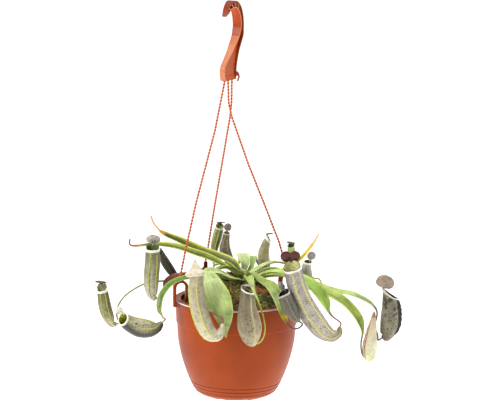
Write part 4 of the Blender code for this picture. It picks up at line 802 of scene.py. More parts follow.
@cache
def leaf_roof():
    """Every leaf's path and half widths, with a tree to look them up by place as seen from above."""
    rows = [row for leaf in LEAVES for row in zip(*PLANT_OT_leaves.stations(leaf)[:2])]
    tree = kdtree.KDTree(len(rows))
    for i, (p, _) in enumerate(rows):
        tree.insert((p.x, p.y, 0), i)
    tree.balance()
    return tree, rows


def mix_height(x, y):
    """The top of the crumbled mix, which rises to a mossy hummock and stays below the leaves."""
    r = hypot(x, y)
    rough = noise.noise(Vector((x, y, 0)) / 9) * 1.8 + noise.noise(Vector((x, y, 40)) / 2.6) * 1.1
    hummocks = sum(rise * exp(-((x - at_x) / wide) ** 2 - ((y - at_y) / deep) ** 2)
                   for rise, at_x, at_y, wide, deep in HUMMOCKS)
    top = mix_top(r) + rough * min(1, (MIX_R + 3 - r) / 6) + hummocks * min(1, (MIX_R + 1 - r) / 14)
    tree, rows = leaf_roof()
    for _, i, apart in tree.find_range((x, y, 0), 12):
        if apart < rows[i][1] + 1.2:
            top = min(top, max(rows[i][0].z - 2, mix_top(r)))
    return top


def on_mix(x, y, above):
    """A place that far above the mix."""
    at = Vector((x, y, 0))
    at.z = mix_height(at.x, at.y) + above
    return at


def strewn(random, reach, above):
    """A place above the mix, at random within reach of the pot's axis."""
    around, r = random.uniform(0, 2 * pi), reach * sqrt(random.random())
    return on_mix(r * cos(around), r * sin(around), above)


class PLANT_OT_pot(bpy.types.Operator):
    """Spin the pot from its section and cut its drainage holes and foot notches"""
    bl_idname = "plant.pot"
    bl_label = "Pot"
    bl_options = {"REGISTER", "UNDO"}

    def execute(self, context):
        settings = context.scene.plant_pot
        wall, depth = settings.wall / MM, settings.groove_depth / MM
        outside = []
        line = smooth(BOWL, 4)
        for (r0, z0), (r1, z1) in zip(line, line[1:]):
            outside.append((r0, z0))
            for z in GROOVE_Z:
                if z0 < z <= z1:
                    outside += [(r0 + (r1 - r0) * (z + dz - z0) / (z1 - z0) - deep * depth, z + dz)
                                for dz, deep in ((-0.9, 0), (-0.45, 0.75), (0, 1), (0.45, 0.75), (0.9, 0))]
        lip_z = POT_HEIGHT - 3.5
        rim = [BOWL[-1], (67.6, COLLAR_FOOT_Z), (68.1, 94), (68.7, lip_z), (RIM_R, lip_z + 0.4),
               (RIM_R, POT_HEIGHT - 0.9), (RIM_R - 0.9, POT_HEIGHT), (RIM_INSIDE_R + 0.8, POT_HEIGHT),
               (RIM_INSIDE_R, POT_HEIGHT - 0.8), (RIM_INSIDE_R, POT_HEIGHT - 2), (66.6, lip_z - 1)]
        inside = [(r - wall, z) for r, z in line[:12:-2]] + [(BOWL[3][0] - wall - 3, 6), (38, 3.5)]
        foot = [(0, 3.5), (0, 1.4), (FOOT_R - 3, 1.4), (FOOT_R - 2.6, 0), (FOOT_R - 0.4, 0), (FOOT_R, 1.2)]
        plastic = moulded_plastic("pot_polypropylene", settings.plastic, settings.plastic_deep, 0.4)
        # scale is a painted reflection: the bright room seen in the rim's top, pale and bluish
        scale = moulded_plastic("rim_painted_reflection", paint("D6DCE2"), paint("56605F"), 0.35)
        pot = spun("hanging_pot", outside + rim + inside + foot, 144, plastic)
        eased(pot, 0.35, 38)
        for i in range(FOOT_NOTCHES):
            around = 2 * pi * (i + 0.4) / FOOT_NOTCHES
            out, side = Vector((cos(around), sin(around), 0)), Vector((-sin(around), cos(around), 0))
            cut(pot, block("notch", lambda x, y, z: out * (FOOT_R + 1 + 6 * x) + side * 3.8 * y
                           + UP * (2.7 * z - 0.1), plastic, 0.2))
        for i in range(DRAINS):
            around = 2 * pi * (i + 0.5) / DRAINS
            bpy.ops.mesh.primitive_cylinder_add(
                vertices=32, radius=DRAIN_R * MM, depth=8 * MM,
                location=in_place((DRAIN_CIRCLE_R * cos(around), DRAIN_CIRCLE_R * sin(around), 2)))
            cut(pot, context.object)
        pick(pot)
        bpy.ops.object.shade_smooth_by_angle(angle=radians(35))
        # Painted shade: near-black brown on the inside of the wall above the mix, where the rim shades it
        inner_wall_shade = moulded_plastic("inner_wall_painted_shade", paint("3C2014"), paint("1E120C"), 0.6)
        for finish in (scale, inner_wall_shade):
            pot.data.materials.append(finish)
        for polygon in pot.data.polygons:
            at = (polygon.center - PLANT) / MM
            on_rim = polygon.normal.z > 0.2 and at.z > POT_HEIGHT - 3 and hypot(at.x, at.y) > RIM_R - 3.2
            # Painted reflection on the rim's top where it faces the front
            if on_rim and at.y < 12:
                polygon.material_index = 1
            # Painted shade on the inside of the wall above the mix
            elif polygon.normal.xy.dot(at.xy) < 0 and at.z > MIX_EDGE_Z - 2:
                polygon.material_index = 2
        handed_over(pot, "pot_plastic", "pot")
        return {"FINISHED"}


class PLANT_OT_soil(bpy.types.Operator):
    """Fill the pot with crumbled mix, moss and bark, and stand the crown of the plant in it"""
    bl_idname = "plant.soil"
    bl_label = "Potting Mix and Moss"
    bl_options = {"REGISTER", "UNDO"}

    def execute(self, context):
        settings = context.scene.plant_pot
        random = Random(5)
        peat = crumbly("damp_peat", settings.peat, settings.fibre, 2.2)
        bark = crumbly("pine_bark", paint("5E3420"), settings.bark, 3.5, 0.85)
        moss_finish = crumbly("moss_bed", paint("14110A"), paint("4C5220"), 3.2, 0.9)
        strand_finish = crumbly("sphagnum_moss_strands", paint("5C681A"), settings.moss, 2.6, 0.8)

        clear = settings.wall / MM + 1.2
        outline = [(0, 3.8), (36, 3.8), (BOWL[3][0] - clear - 5, 7.5)]
        outline += [(r - clear, z) for r, z in BOWL[3::2]] + [(MIX_R + 2.5, MIX_EDGE_Z - 4)]
        outline += [(r, mix_top(r)) for r in range(MIX_R, -1, -1)]
        mix = spun("potting_mix_top", outline, 160, peat)
        for vertex in mix.data.vertices:
            x, y, z = (vertex.co - PLANT) / MM
            if z > MIX_EDGE_Z - 1:
                vertex.co = in_place((x, y, mix_height(x, y)))
        crumbs, fibres, chips = ([], []), ([], []), ([], [])
        for kind, count, small, large in ((crumbs, 900, 0.5, 1.5), (chips, 130, 1, 2.6)):
            for _ in range(count):
                at = strewn(random, 60, small * 0.3)
                self.crumb(*kind, at, random.uniform(small, large), random)
        for _ in range(260):
            at = strewn(random, 59, 0.2)
            to = Vector((random.uniform(-1, 1), random.uniform(-1, 1), random.uniform(0.05, 0.5)))
            sprig(*fibres, at, to, random.uniform(3, 9), 0.22, 0.25, steps=4)
        coir = crumbly("coir_fibre", paint("5A3018"), settings.fibre, 1.5, 0.8)
        pieces = [mix, shapes("crumbs", *crumbs, peat), shapes("chips", *chips, bark),
                  shapes("fibres", *fibres, coir)]
        handed_over(joined("crumbled_potting_mix", pieces), "potting_mix", "potting_mix")

        for name, (place, size, turn, patches) in MOSS.items():
            bed = self.mound(name + "_bed", *place, size, MOSS_RISE, turn, moss_finish, 0.12)
            leaves = ([], [])
            for px, py, spread, count in patches:
                for _ in range(count):
                    at = on_mix(random.gauss(px, spread), random.gauss(py, spread), -0.4)
                    if hypot(at.x, at.y) < MIX_R - 2:
                        to = Vector((random.uniform(-1, 1), random.uniform(-1, 1), random.uniform(0.1, 0.9)))
                        sprig(*leaves, at, to, random.uniform(3, 8), 0.5, 0.3)
            handed_over(joined(name + "_tuft", [bed, shapes("leaves", *leaves, strand_finish)]), "moss", name)
        red_bark = crumbly("red_bark_dust", paint("32130E"), paint("8E4630"), 2.4, 0.85)
        for name, x, y, size, turn, finish in (("bark_chip_front", 27, -10, (6.6, 3.4), 0.35, bark),
                                               ("bark_chip_left", -50, 12, (6, 4), 1.9, red_bark)):
            chip = self.mound(name + "_piece", x, y, size, CHIP_RISE, turn, finish, 0.3)
            handed_over(chip, "bark", name)
        self.crown()
        return {"FINISHED"}

    @staticmethod
    def crumb(points, faces, at, size, random):
        """Adds one irregular crumb of six sides."""
        start = len(points)
        long, flat = random.uniform(1, 1.9), random.uniform(0.5, 0.9)
        turn = random.uniform(0, 2 * pi)
        along = Vector((cos(turn), sin(turn), random.uniform(-0.4, 0.4)))
        across = Vector((-sin(turn), cos(turn), 0))
        for z in (-1, 1):
            for x, y in ((-1, -1), (1, -1), (1, 1), (-1, 1)):
                to = along * x * long + across * y + UP * z * flat
                points.append(at + to * size * random.uniform(0.32, 0.56))
        faces += [[start + n for n in side] for side in (
            (0, 3, 2, 1), (4, 5, 6, 7), (0, 1, 5, 4), (1, 2, 6, 5), (2, 3, 7, 6), (3, 0, 4, 7))]

    @staticmethod
    def spot(x, y, size, turn, share, a):
        """A point of the slope under a mound, a share of the way out in a direction."""
        px = x + size[0] * share * cos(a) * cos(turn) - size[1] * share * sin(a) * sin(turn)
        py = y + size[0] * share * cos(a) * sin(turn) + size[1] * share * sin(a) * cos(turn)
        return Vector((px, py, mix_height(px, py)))

    def mound(self, name, x, y, size, height, turn, finish, rough):
        rows = []
        for share, lift in ((0.6, 0), (1, 0.2), (1.03, 0.3), (0.97, 0.55), (0.85, 0.75), (0.66, 0.9),
                            (0.42, 0.98), (0.2, 1)):
            row = []
            for k in range(33):
                p = self.spot(x, y, size, turn, share, 2 * pi * (k % 32) / 32) + UP * (0.6 + height * lift)
                p += (p - Vector((x, y, p.z - 2))).normalized() * noise.noise(p / 2.4) * rough * height
                row.append(p)
            rows.append(row)
        return drawn_out(name, rows, finish, angle=50)

    @staticmethod
    def crown():
        """The short stem, ringed by the scars of old leaves."""
        finish = crumbly("woody_stem", paint("6E6A34"), paint("A3A85C"), 4, 0.6, 0.4)
        rows = []
        for k in range(30):
            z = 106 + 34.5 * k / 29
            r = STEM_R * (1 - 0.45 * (k / 29) ** 3) * (1 + 0.05 * sin(k * 1.7))
            rows.append([Vector((STEM_X + r * cos(a), STEM_Y + r * sin(a), z + 0.6 * sin(2 * a + k)))
                         for a in round_angles(32)])
        handed_over(drawn_out("crown_of_plant", rows, finish), "stem_green", "stem")


class PLANT_OT_hanger(bpy.types.Operator):
    """Model the ribbed hook and the three rim clips"""
    bl_idname = "plant.hanger"
    bl_label = "Hook and Clips"
    bl_options = {"REGISTER", "UNDO"}

    def execute(self, context):
        settings = context.scene.plant_hanger
        plastic = moulded_plastic("hanger_polypropylene", settings.plastic, settings.plastic_deep, 0.36)
        # pale is a painted highlight and deep painted shade, both on the hanger's plastic
        pale = moulded_plastic("hanger_painted_highlight", settings.plastic_pale, settings.plastic, 0.36)
        deep = moulded_plastic("hanger_painted_shade", settings.plastic_deep, settings.plastic, 0.4)
        stations = hook_stations()
        rows = [i_section(*station) for station in stations]
        kink = len(stations) - 5 * len(SPINE) + 4

        def painted_light_on(row, column):
            """Painted shade on the outer flange's faces, and a painted highlight on the inner flange's sides
            and, along the lower spine, on its inner edge.
            """
            if column in (0, 10, 11):
                return 2
            return column in (4, 6) or column == 5 and row > kink

        hook = drawn_out("plate", rows, (plastic, pale, deep), painted_light_on, angle=35)
        eased(hook, 0.3, 50)
        parts = [hook]
        for k in range(6, 34, 7):
            outer, inner, width, _ = stations[k + 3]
            outer, inner = Vector(outer), Vector(inner)
            across = (inner - outer).normalized()
            along = Vector((-across.y, across.x)) * 0.6
            ends = {-1: outer + across * 0.7, 1: inner - across * 0.7}
            # The ribs are in the painted-highlight finish
            parts.append(block("rib", lambda x, y, z: hook_point(
                *(ends[x] + along * y), (width / 2 - 0.35) * z), pale, 0.2))
        foot = SPINE[-1][0][1]
        parts.append(block("bar", lambda x, y, z: hook_point(-5.45 + 13.2 * x, foot + 3.6 + 2.4 * z, 1.9 * y),
                           plastic, 1))
        for socket in SOCKETS:
            boss = [hook_point(socket, foot + h) for h in (3, 1.1, 0.2, -0.3)]
            parts.append(tube("boss", boss, (2.4, 2.4, 2.3, 1.7), plastic, 24, 40))
        handed_over(joined("ribbed_hook", parts), "hanger_plastic", "hanger_hook")

        for name, angle in CLIP_ANGLES.items():
            # The back left clip gets the painted-shade finish
            handed_over(self.clip(name, radians(angle), deep if name == "clip_back_left" else plastic),
                        "hanger_plastic", name)
        return {"FINISHED"}

    @staticmethod
    def clip(name, a, finish):
        """A saddle over the pot's rim, with the toe that grips it and the post that the strand runs into."""
        out, side = Vector((cos(a), sin(a), 0)), Vector((-sin(a), cos(a), 0)) * CLIP_WIDE / 2
        middle, bow = (CLIP_INNER_R + CLIP_OUTER_R) / 2, (CLIP_OUTER_R - CLIP_INNER_R) / 2
        line = [Vector((CLIP_INNER_R, 109)), Vector((CLIP_INNER_R, 117))]
        line += [Vector((middle + bow * cos(t), CLIP_SHOULDER_Z + bow * sin(t)))
                 for t in (pi * (1 - k / 28) for k in range(29))]
        line += [Vector((CLIP_OUTER_R, z)) for z in (118, 110, 105.7, 103.4)]
        rows = []
        for p, along in zip(line, tangents(line)):
            off = Vector((-along.y, along.x)) * CLIP_THICK / 2
            near, far = (out * q.x + UP * q.y for q in (p - off, p + off))
            rows.append([near - side, near + side, far + side, far - side, near - side])
        saddle = drawn_out("saddle", rows, finish, angle=35)
        eased(saddle, 0.5, 50)
        toe = block("toe", lambda x, y, z: out * (70.85 + 1.45 * x) + side * 0.92 * y
                    + UP * (104.45 + 1.25 * z), finish, 0.35)
        neck_foot = CLIP_SHOULDER_Z + bow - 0.6
        neck = [out * middle + UP * z for z in (neck_foot, neck_foot + 1, neck_foot + 2.4, neck_foot + 4,
                                                CLIP_TOP_Z - 0.6, CLIP_TOP_Z - 0.1, CLIP_TOP_Z)]
        post = tube("post", neck, (3.7, 3.2, 2.6, 2.3, 2.3, 2, 1.5), finish, 28, 40)
        return joined(name + "_saddle", [saddle, toe, post])


def hook_point(along, height, out=0.0):
    """A point of the hook from its place in the plate's plane and its distance out of it."""
    return Vector((HOOK_X + along * cos(HOOK_TURN) + out * sin(HOOK_TURN),
                   HOOK_Y + along * sin(HOOK_TURN) - out * cos(HOOK_TURN), HOOK_Z + height))


def hook_stations():
    """(outer edge, inner edge, width, how hollow) from the tip over the crown to the plate's foot."""
    crown, steps = [], 48
    for k in range(steps + 1):
        a, b = (radians(tip * (1 - k / steps)) for tip in (TIP_OUT, TIP_IN))
        width = 4.4 + 6 * sin(min(1, 1.3 * k / steps) * pi / 2)
        crown.append((CROWN_OUT[0] * cos(a), CROWN_OUT[1] * sin(a),
                      CROWN_IN[0] * cos(b), CROWN_IN[1] * sin(b), width))
    spine = smooth([crown[-1]] + [(*outer, *inner, width) for outer, inner, width in SPINE], 5)
    line = [Vector(row) for row in crown] + spine[1:]
    out = []
    middle = Vector(((line[0][0] + line[0][2]) / 2, (line[0][1] + line[0][3]) / 2))
    for push, narrow in ((2.1, 0.55), (1.6, 0.8), (0.8, 0.95)):  # the rounded tip
        ends = [middle + (Vector(line[0][i:i + 2]) - middle) * narrow + Vector((0.45, -0.9)) * push
                for i in (0, 2)]
        out.append((*ends, line[0][4] * narrow, 0))
    for k, row in enumerate(line):
        out.append((Vector(row[0:2]), Vector(row[2:4]), row[4], min(1, k / 4, (len(line) - 1 - k) / 4)))
    return out


def i_section(outer, inner, width, hollow):
    """The hook's section: two flanges joined by a web, or solid where it isn't hollow."""
    outer, inner = Vector(outer), Vector(inner)
    across = (inner - outer).normalized()
    a, b = outer + across * FLANGE, inner - across * FLANGE
    w = width / 2
    t = w + (WEB / 2 - w) * hollow - 0.02
    corners = [(outer, -w), (a, -w), (a, -t), (b, -t), (b, -w), (inner, -w),
               (inner, w), (b, w), (b, t), (a, t), (a, w), (outer, w), (outer, -w)]
    return [hook_point(p[0], p[1], out) for p, out in corners]


class PLANT_OT_strands(bpy.types.Operator):
    """Twist the three strands between the hook and the clips, and tie off the strand end at the plate"""
    bl_idname = "plant.strands"
    bl_label = "Strands"
    bl_options = {"REGISTER", "UNDO"}

    def execute(self, context):
        settings = context.scene.plant_hanger
        twine = spun_cord("twisted_polypropylene_twine", settings.cord, settings.cord_shade)
        # groove is painted shade for the crevices between the plies
        groove = spun_cord("twine_between_plies", settings.cord_shade, paint("6A260E"))
        foot, pitch = SPINE[-1][0][1], settings.ply_pitch / MM
        middle = (CLIP_INNER_R + CLIP_OUTER_R) / 2
        for name, (socket, clip, between) in STRANDS.items():
            a = radians(CLIP_ANGLES[clip])
            ends = [Vector((middle * cos(a), middle * sin(a), z)) for z in (CLIP_TOP_Z + 1, CLIP_TOP_Z - 3)]
            route = [hook_point(SOCKETS[socket], foot + 4), hook_point(SOCKETS[socket], foot - 1)]
            line = smooth(stepped(route + [Vector(p) for p in between] + ends), 16)
            plies = [self.ply(line, turn, pitch, (twine, groove)) for turn in (0, pi)]
            strand = joined(name + "_twine", plies)
            handed_over(strand, "strand_cord", name)
        line = smooth([hook_point(along, foot + height, out) for along, height, out in KNOT], 6)
        radii = [STRAND_R - 0.3 * (k / len(line)) ** 4 for k in range(len(line))]
        knot = tube("tied_strand_end", line, radii, groove)
        handed_over(knot, "strand_cord", "strand_knot")
        return {"FINISHED"}

    @staticmethod
    def ply(line, turn, pitch, finishes):
        """One of the two plies that wind round the strand's line, with painted shade where it lies against
        the other.
        """
        side, travelled, rows, sides = Vector((1, 0, 0)), 0, [], 12
        for k, (p, along) in enumerate(zip(line, tangents(line))):
            travelled += (p - line[k - 1]).length if k else 0
            side = square_to(side, along)
            angle = turn + 2 * pi * travelled / pitch
            out = side * cos(angle) + along.cross(side) * sin(angle)
            across = along.cross(out)
            rows.append([p + out * PLY_OFF + (out * cos(a) + across * sin(a)) * PLY_R
                         for a in round_angles(sides)])
        return drawn_out("ply", rows, finishes, lambda row, column: 3 <= column < sides - 3,
                         v=[k / len(rows) for k in range(len(rows))], angle=80)


class PLANT_OT_leaves(bpy.types.Operator):
    """Model the strap leaves, each with the tendril that its midrib runs on as"""
    bl_idname = "plant.leaves"
    bl_label = "Leaves"
    bl_options = {"REGISTER", "UNDO"}

    def execute(self, context):
        settings = context.scene.plant_growth
        colours = {"leaf_green": settings.leaf, "leaf_pale": settings.leaf_new,
                   "leaf_dark": settings.leaf_old, "leaf_dry": settings.leaf_withered}
        for number, leaf in enumerate(LEAVES):
            colour = paint(leaf.shade) if leaf.shade else colours[leaf.slot][:]
            sides = [leaf_blade(leaf.name + side, leaf, colour, side == "_lower")
                     for side in ("_upper", "_lower")]
            path, widths, faces, v = self.stations(leaf)
            rows = [self.section(*station, k, number, leaf, settings)
                    for k, station in enumerate(zip(path, tangents(path), widths, faces))]
            blade = drawn_out(leaf.name.replace("leaf_", "") + "_leaf", rows, sides,
                              lambda row, column: column >= len(rows[0]) // 2, v=v, angle=55)
            for loop in blade.data.uv_layers.active.data:  # U runs across the blade on both sides
                loop.uv.x = (1 + cos(2 * pi * loop.uv.x)) / 2
            handed_over(blade, leaf.slot, leaf.name)
        return {"FINISHED"}

    @staticmethod
    def stations(leaf):
        """Path, half widths, upper sides and places in V from the stem to where the pitcher begins."""
        around, height = radians(leaf.base[0]), leaf.base[1]
        reach = STEM_R - 1.5
        base = (STEM_X + reach * cos(around), STEM_Y + reach * sin(around), height - 1, 2.6)
        out = (STEM_X + (STEM_R + 4.5) * cos(around), STEM_Y + (STEM_R + 4.5) * sin(around), height + 1, 3)
        line = [base, out] + leaf.blade + [(*p, TENDRIL_R) for p in leaf.tendril]
        if leaf.pitcher:
            axis = next(pitcher.axis for pitcher in PITCHERS if pitcher.name == leaf.pitcher)
            foot, after = (Vector(p[:3]) for p in axis[:2])
            back = (foot - after).normalized()
            line += [(*(foot + back * off), TENDRIL_R) for off in (5, -0.4)]
        blades, spans = len(leaf.blade) + 1, 9
        fine = smooth(line, spans)
        path, widths = [p.xyz for p in fine], [max(p[3], TENDRIL_R) for p in fine]
        faces, v = [], []
        for i, along in enumerate(tangents(path)):
            share = i / (spans * blades)
            v.append(share if share <= 1 else 1 + (i - spans * blades) / (len(path) - 1 - spans * blades))
            if share <= 1:
                faces.append(Vector(leaf.face_base).lerp(Vector(leaf.face_tip), share))
            else:
                faces.append(square_to(faces[-1], along))
        return path, widths, faces, v

    @staticmethod
    def section(p, along, width, face, k, number, leaf, settings):
        """One section: folded and ribbed where it is blade, round where it is tendril."""
        fold, curl = radians(leaf.fold), 0.12 if leaf.slot == "leaf_dry" else 0.05
        top = square_to(face, along)
        side = along.cross(top)
        blade = min(max((width - TENDRIL_R) / 1.6, 0), 1)
        thick, rib = settings.blade_thickness / MM, settings.midrib / MM
        row, sides = [], 44
        for n in range(sides + 1):
            a = 2 * pi * n / sides
            t = copysign(abs(cos(a)) ** 1.4, cos(a))
            out = abs(t)
            wave = sin(k * 0.33 + number * 1.9 + (1.3 if t > 0 else 0)) * curl
            z = width * (tan(fold) * (1.2 * out - 0.2 * out * out) + wave * out * out)
            z -= 0.35 * exp(-(t * width / 0.7) ** 2)
            if sin(a) < 0:
                z -= thick * sqrt(max(0, 1 - out ** 4)) + rib * exp(-(t * width / 0.75) ** 2)
            flat, round_ = (t * width * 0.99, z), (cos(a) * width, sin(a) * width)
            x, z = (r + (f - r) * blade for f, r in zip(flat, round_))
            row.append(p + side * x + top * z)
        return row


class PLANT_OT_pitchers(bpy.types.Operator):
    """Model the pitchers: spotted walls, ribbed lips, lids with their spurs, and fringed wings"""
    bl_idname = "plant.pitchers"
    bl_label = "Pitchers"
    bl_options = {"REGISTER", "UNDO"}

    def execute(self, context):
        settings = context.scene.plant_growth
        for number, pitcher in enumerate(PITCHERS):
            shape = PitcherShape(pitcher, settings)
            parts = [shape.cup()] + shape.fringes(number)
            parts += [shape.lip(), shape.lid(), shape.spur()] if pitcher.open else [shape.seam()]
            name = pitcher.name.replace("pitcher_", "") + "_pitcher"
            handed_over(joined(name, parts), pitcher.slot, pitcher.name)
        return {"FINISHED"}


class PitcherShape:
    """The surfaces of one pitcher."""
    sides, spans = 48, 7

    def __init__(self, pitcher, settings):
        self.pitcher, self.settings = pitcher, settings
        self.wall = settings.pitcher_wall / MM
        fine = smooth(pitcher.axis, self.spans)
        self.path, self.radii = [p.xyz for p in fine], [max(p[3], 0.8) * 0.985 for p in fine]
        self.along, self.last = tangents(self.path), len(self.path) - 1
        self.mouth_rows = self.spans * (1 if len(pitcher.axis) < 7 else 2)
        *_, before, mouth = (Vector(p[:3]) for p in pitcher.axis)
        collar = pitcher.band[1] / ((mouth - before).length * (len(pitcher.axis) - 1))
        self.finish = pitcher_wall(pitcher.name + "_wall", pitcher, 1 - collar)

    def at(self, i, a, off=0.0):
        """A point of the wall: at a station, in a direction round from the hinge, and off the surface."""
        along = self.along[i]
        to_hinge = square_to(Vector(self.pitcher.hinge), along)
        side = along.cross(to_hinge)
        r = self.radii[i] + off
        lift = 0
        if self.pitcher.open:
            near = max(0, 1 - (self.last - i) / self.mouth_rows)
            lift = self.pitcher.rise * near * ((1 + cos(a)) / 2) ** 1.5
        elif self.pitcher.name == "pitcher_front_left" and i > 0.68 * self.last:
            flap = max(0, 1 - abs(i / self.last - 0.76) / 0.1)
            r *= 1 + flap * 0.14 * cos(3 * a + 0.6)
        return self.path[i] + along * lift + (to_hinge * cos(a) + side * sin(a)) * r

    def row(self, i, off=0.0):
        return [self.at(i, 2 * pi * (k % self.sides) / self.sides, off) for k in range(self.sides + 1)]

    def cup(self):
        """The wall outside and, where the mouth is open, inside down to the bottom."""
        name = self.pitcher.name
        rows = [self.row(i) for i in range(self.last + 1)]
        v = [i / self.last for i in range(self.last + 1)]
        if not self.pitcher.open:
            tent = "left" in name
            lid = waxy(name + "_lid", "C9C0A4" if tent else "9E7852", "8F7E60" if tent else "5E4430", 0.4, 5)
            shut = round(self.last * (0.7 if tent else 0.9))
            return drawn_out("cup", rows, (self.finish, lid), lambda row, column: row >= shut, v=v)
        deepest = next(i for i in range(self.last) if self.radii[i] > self.wall + 2)
        rows += [self.row(i, -self.wall) for i in range(self.last, deepest, -1)]
        v += [1] * (self.last - deepest)
        inner = waxy(name + "_inside", self.pitcher.inside, "2E2A18", 0.25, 2.5, 0.5)
        return drawn_out("cup", rows, (self.finish, inner), lambda row, column: row > self.last, v=v)

    def ring(self, i, wide, ribs, finishes):
        """A rolled, ribbed rim round the cup at a station, with one finish in front and one by the hinge."""
        sides, inset = ribs * 4, self.wall / 2 if self.pitcher.open else 0
        line = [self.at(i, 2 * pi * k / sides, -inset) for k in range(sides)]
        rows = []
        for k in range(sides + 1):
            p, before, after = (line[(k + step) % sides] for step in (0, -1, 1))
            tangent = (after - before).normalized()
            out = square_to(p - self.path[i], tangent)
            up = out.cross(tangent)
            up = up if up.dot(self.along[i]) > 0 else -up
            a = 2 * pi * k / sides
            w = wide * (0.8 + 0.25 * (1 - cos(a)) / 2) * (1 + 0.06 * cos(ribs * a))
            row = []
            for n in range(13):
                t = 2 * pi * n / 12
                x, y = w * (cos(t) + 0.4), w * (0.62 * sin(t) - 0.45 * max(0, cos(t)) ** 2 + 0.12)
                row.append(p + out * x + up * y)
            rows.append(row)
        return drawn_out("lip", rows, finishes, lambda row, column: cos(2 * pi * row / sides) > 0.3,
                         ends=False, angle=70)

    @staticmethod
    def lip_finish(code):
        return once("lip_" + code, waxy, code, "B8AF88", 0.25, 4, 0.4)

    def lip(self):
        ribs = max(16, round(self.settings.lip_ribs * self.radii[-1] / 9))
        finishes = [self.lip_finish(code) for code in self.pitcher.lip]
        return self.ring(self.last, self.pitcher.lip_wide, ribs, finishes)

    def seam(self):
        """The closed lid's edge on a pitcher that hasn't opened."""
        share, wide, code = (0.7, 0.7, "F0EBD8") if "left" in self.pitcher.name else (0.9, 0.25, "A88A62")
        return self.ring(round(self.last * share), wide, 20, [self.lip_finish(code)] * 2)

    def hinge(self):
        """The top of the mouth's rear edge, the way to it and the way up."""
        to_hinge = square_to(Vector(self.pitcher.hinge), self.along[-1])
        top = self.path[-1] + to_hinge * (self.radii[-1] - self.wall / 2) + self.along[-1] * self.pitcher.rise
        return top, to_hinge, self.along[-1]

    def lid(self):
        """The lid on its short neck: one blade, or two where it is cleft."""
        pitcher, (top, _, along) = self.pitcher, self.hinge()
        length, width = pitcher.lid
        out = Vector(pitcher.lid_to).normalized()
        face = square_to(Vector(pitcher.lid_face), out)
        side, foot = out.cross(face), top + along * 1.3 - out * 0.2
        finish = once("lid_" + pitcher.lid_colour, waxy, pitcher.lid_colour, "3E322C", 0.34, 2.6, 0.6)
        if pitcher.lobes:
            parts = [self.blade(foot, out * cos(lean) + side * sin(lean), face - side * 0.5 * sin(lean),
                                length * 0.92, width * 0.5, finish)
                     for lean in (-pitcher.lobes, pitcher.lobes)]
        else:
            parts = [self.blade(foot, out, face, length, width, finish)]
        neck = [top - along * 1.6, top - along * 0.4, top + along * 0.7, top + along * 1.25 + out * 0.7,
                top + along * 1.3 + out * 2.2]
        parts.append(tube("neck", smooth(neck, 4), [1.5 - 0.055 * k for k in range(17)], finish, 16))
        return joined("lid", parts)

    def blade(self, foot, out, face, length, width, finish):
        """A domed round blade with a wavy edge."""
        face = square_to(face, out)
        side, rows, n = out.cross(face), [], 20
        for j in range(n + 1):
            s = j / n
            w = width * sqrt(max(0, 1 - abs(2 * s ** 0.85 - 1) ** 2.3))
            row = []
            for m in range(n + 1):
                t = 2 * m / n - 1
                dome = 0.2 * width * (1 - t * t) * sin(pi * min(1, s + 0.05)) ** 0.6
                wave = 0.07 * width * t * t * sin(9 * s + 4 * t + length)
                keel = 0.05 * width * exp(-(t / 0.12) ** 2)
                row.append(foot + out * 2 * length * s + side * w * t + face * (dome + wave - keel))
            rows.append(row)
        blade = drawn_out("lid", rows, finish, ends=False, angle=50)
        applied(blade, "SOLIDIFY", thickness=self.settings.lid_thickness, offset=0)
        return blade

    def spur(self):
        """The small spur behind the lid."""
        top, to_hinge, along = self.hinge()
        line = smooth([top - along * 0.6, top + to_hinge * 0.8 + along * 0.4,
                       top + to_hinge * 1.6 + along * 1.9], 4)
        return tube("spur", line, [0.55 - 0.052 * k for k in range(9)],
                    once("spur", waxy, "6A5A3C", "4A3C34"), 8)

    def fringes(self, number):
        """The two wings down the front, with their fringe of hairs."""
        pitcher, parts = self.pitcher, []
        blotch = "9A9458" if pitcher.wing > "8" else "1E1814"  # darker on a dark wing
        finish = once("wing_" + pitcher.wing, waxy, pitcher.wing, blotch, 0.4, 3, 0.4)
        height, start, stop = pitcher.wings
        height *= min(1, max(self.radii) / 9)
        random, hairs = Random(number), ([], [])
        middle, apart = (radians(degrees) for degrees in pitcher.wing_at)
        for a in (middle - apart, middle + apart):
            first, final = round(start * self.last), round(stop * self.last)
            rows = []
            for i in range(first, final + 1):
                share = (i - first) / (final - first)
                tall = height * sin(pi * share) ** 0.5 * (0.82 + 0.18 * sin(i * 2.1))
                foot, tip = self.at(i, a, -0.4), self.at(i, a, tall)
                across = self.along[i].cross(tip - foot).normalized()
                rows.append([foot - across * 0.5, foot + across * 0.5,
                             tip + across * 0.16, tip - across * 0.16, foot - across * 0.5])
                if pitcher.hairs and tall > 0.5:
                    sprig(*hairs, tip - (tip - foot).normalized() * 0.3, (tip - foot).normalized() * 1.4
                          + self.along[i] * random.uniform(-0.3, 0.6), random.uniform(0.8, 1.6), 0.3, 0.1)
            parts.append(drawn_out("wing", rows, finish, angle=45))
        if pitcher.hairs:
            parts.append(shapes("hairs", *hairs, finish))
        return parts


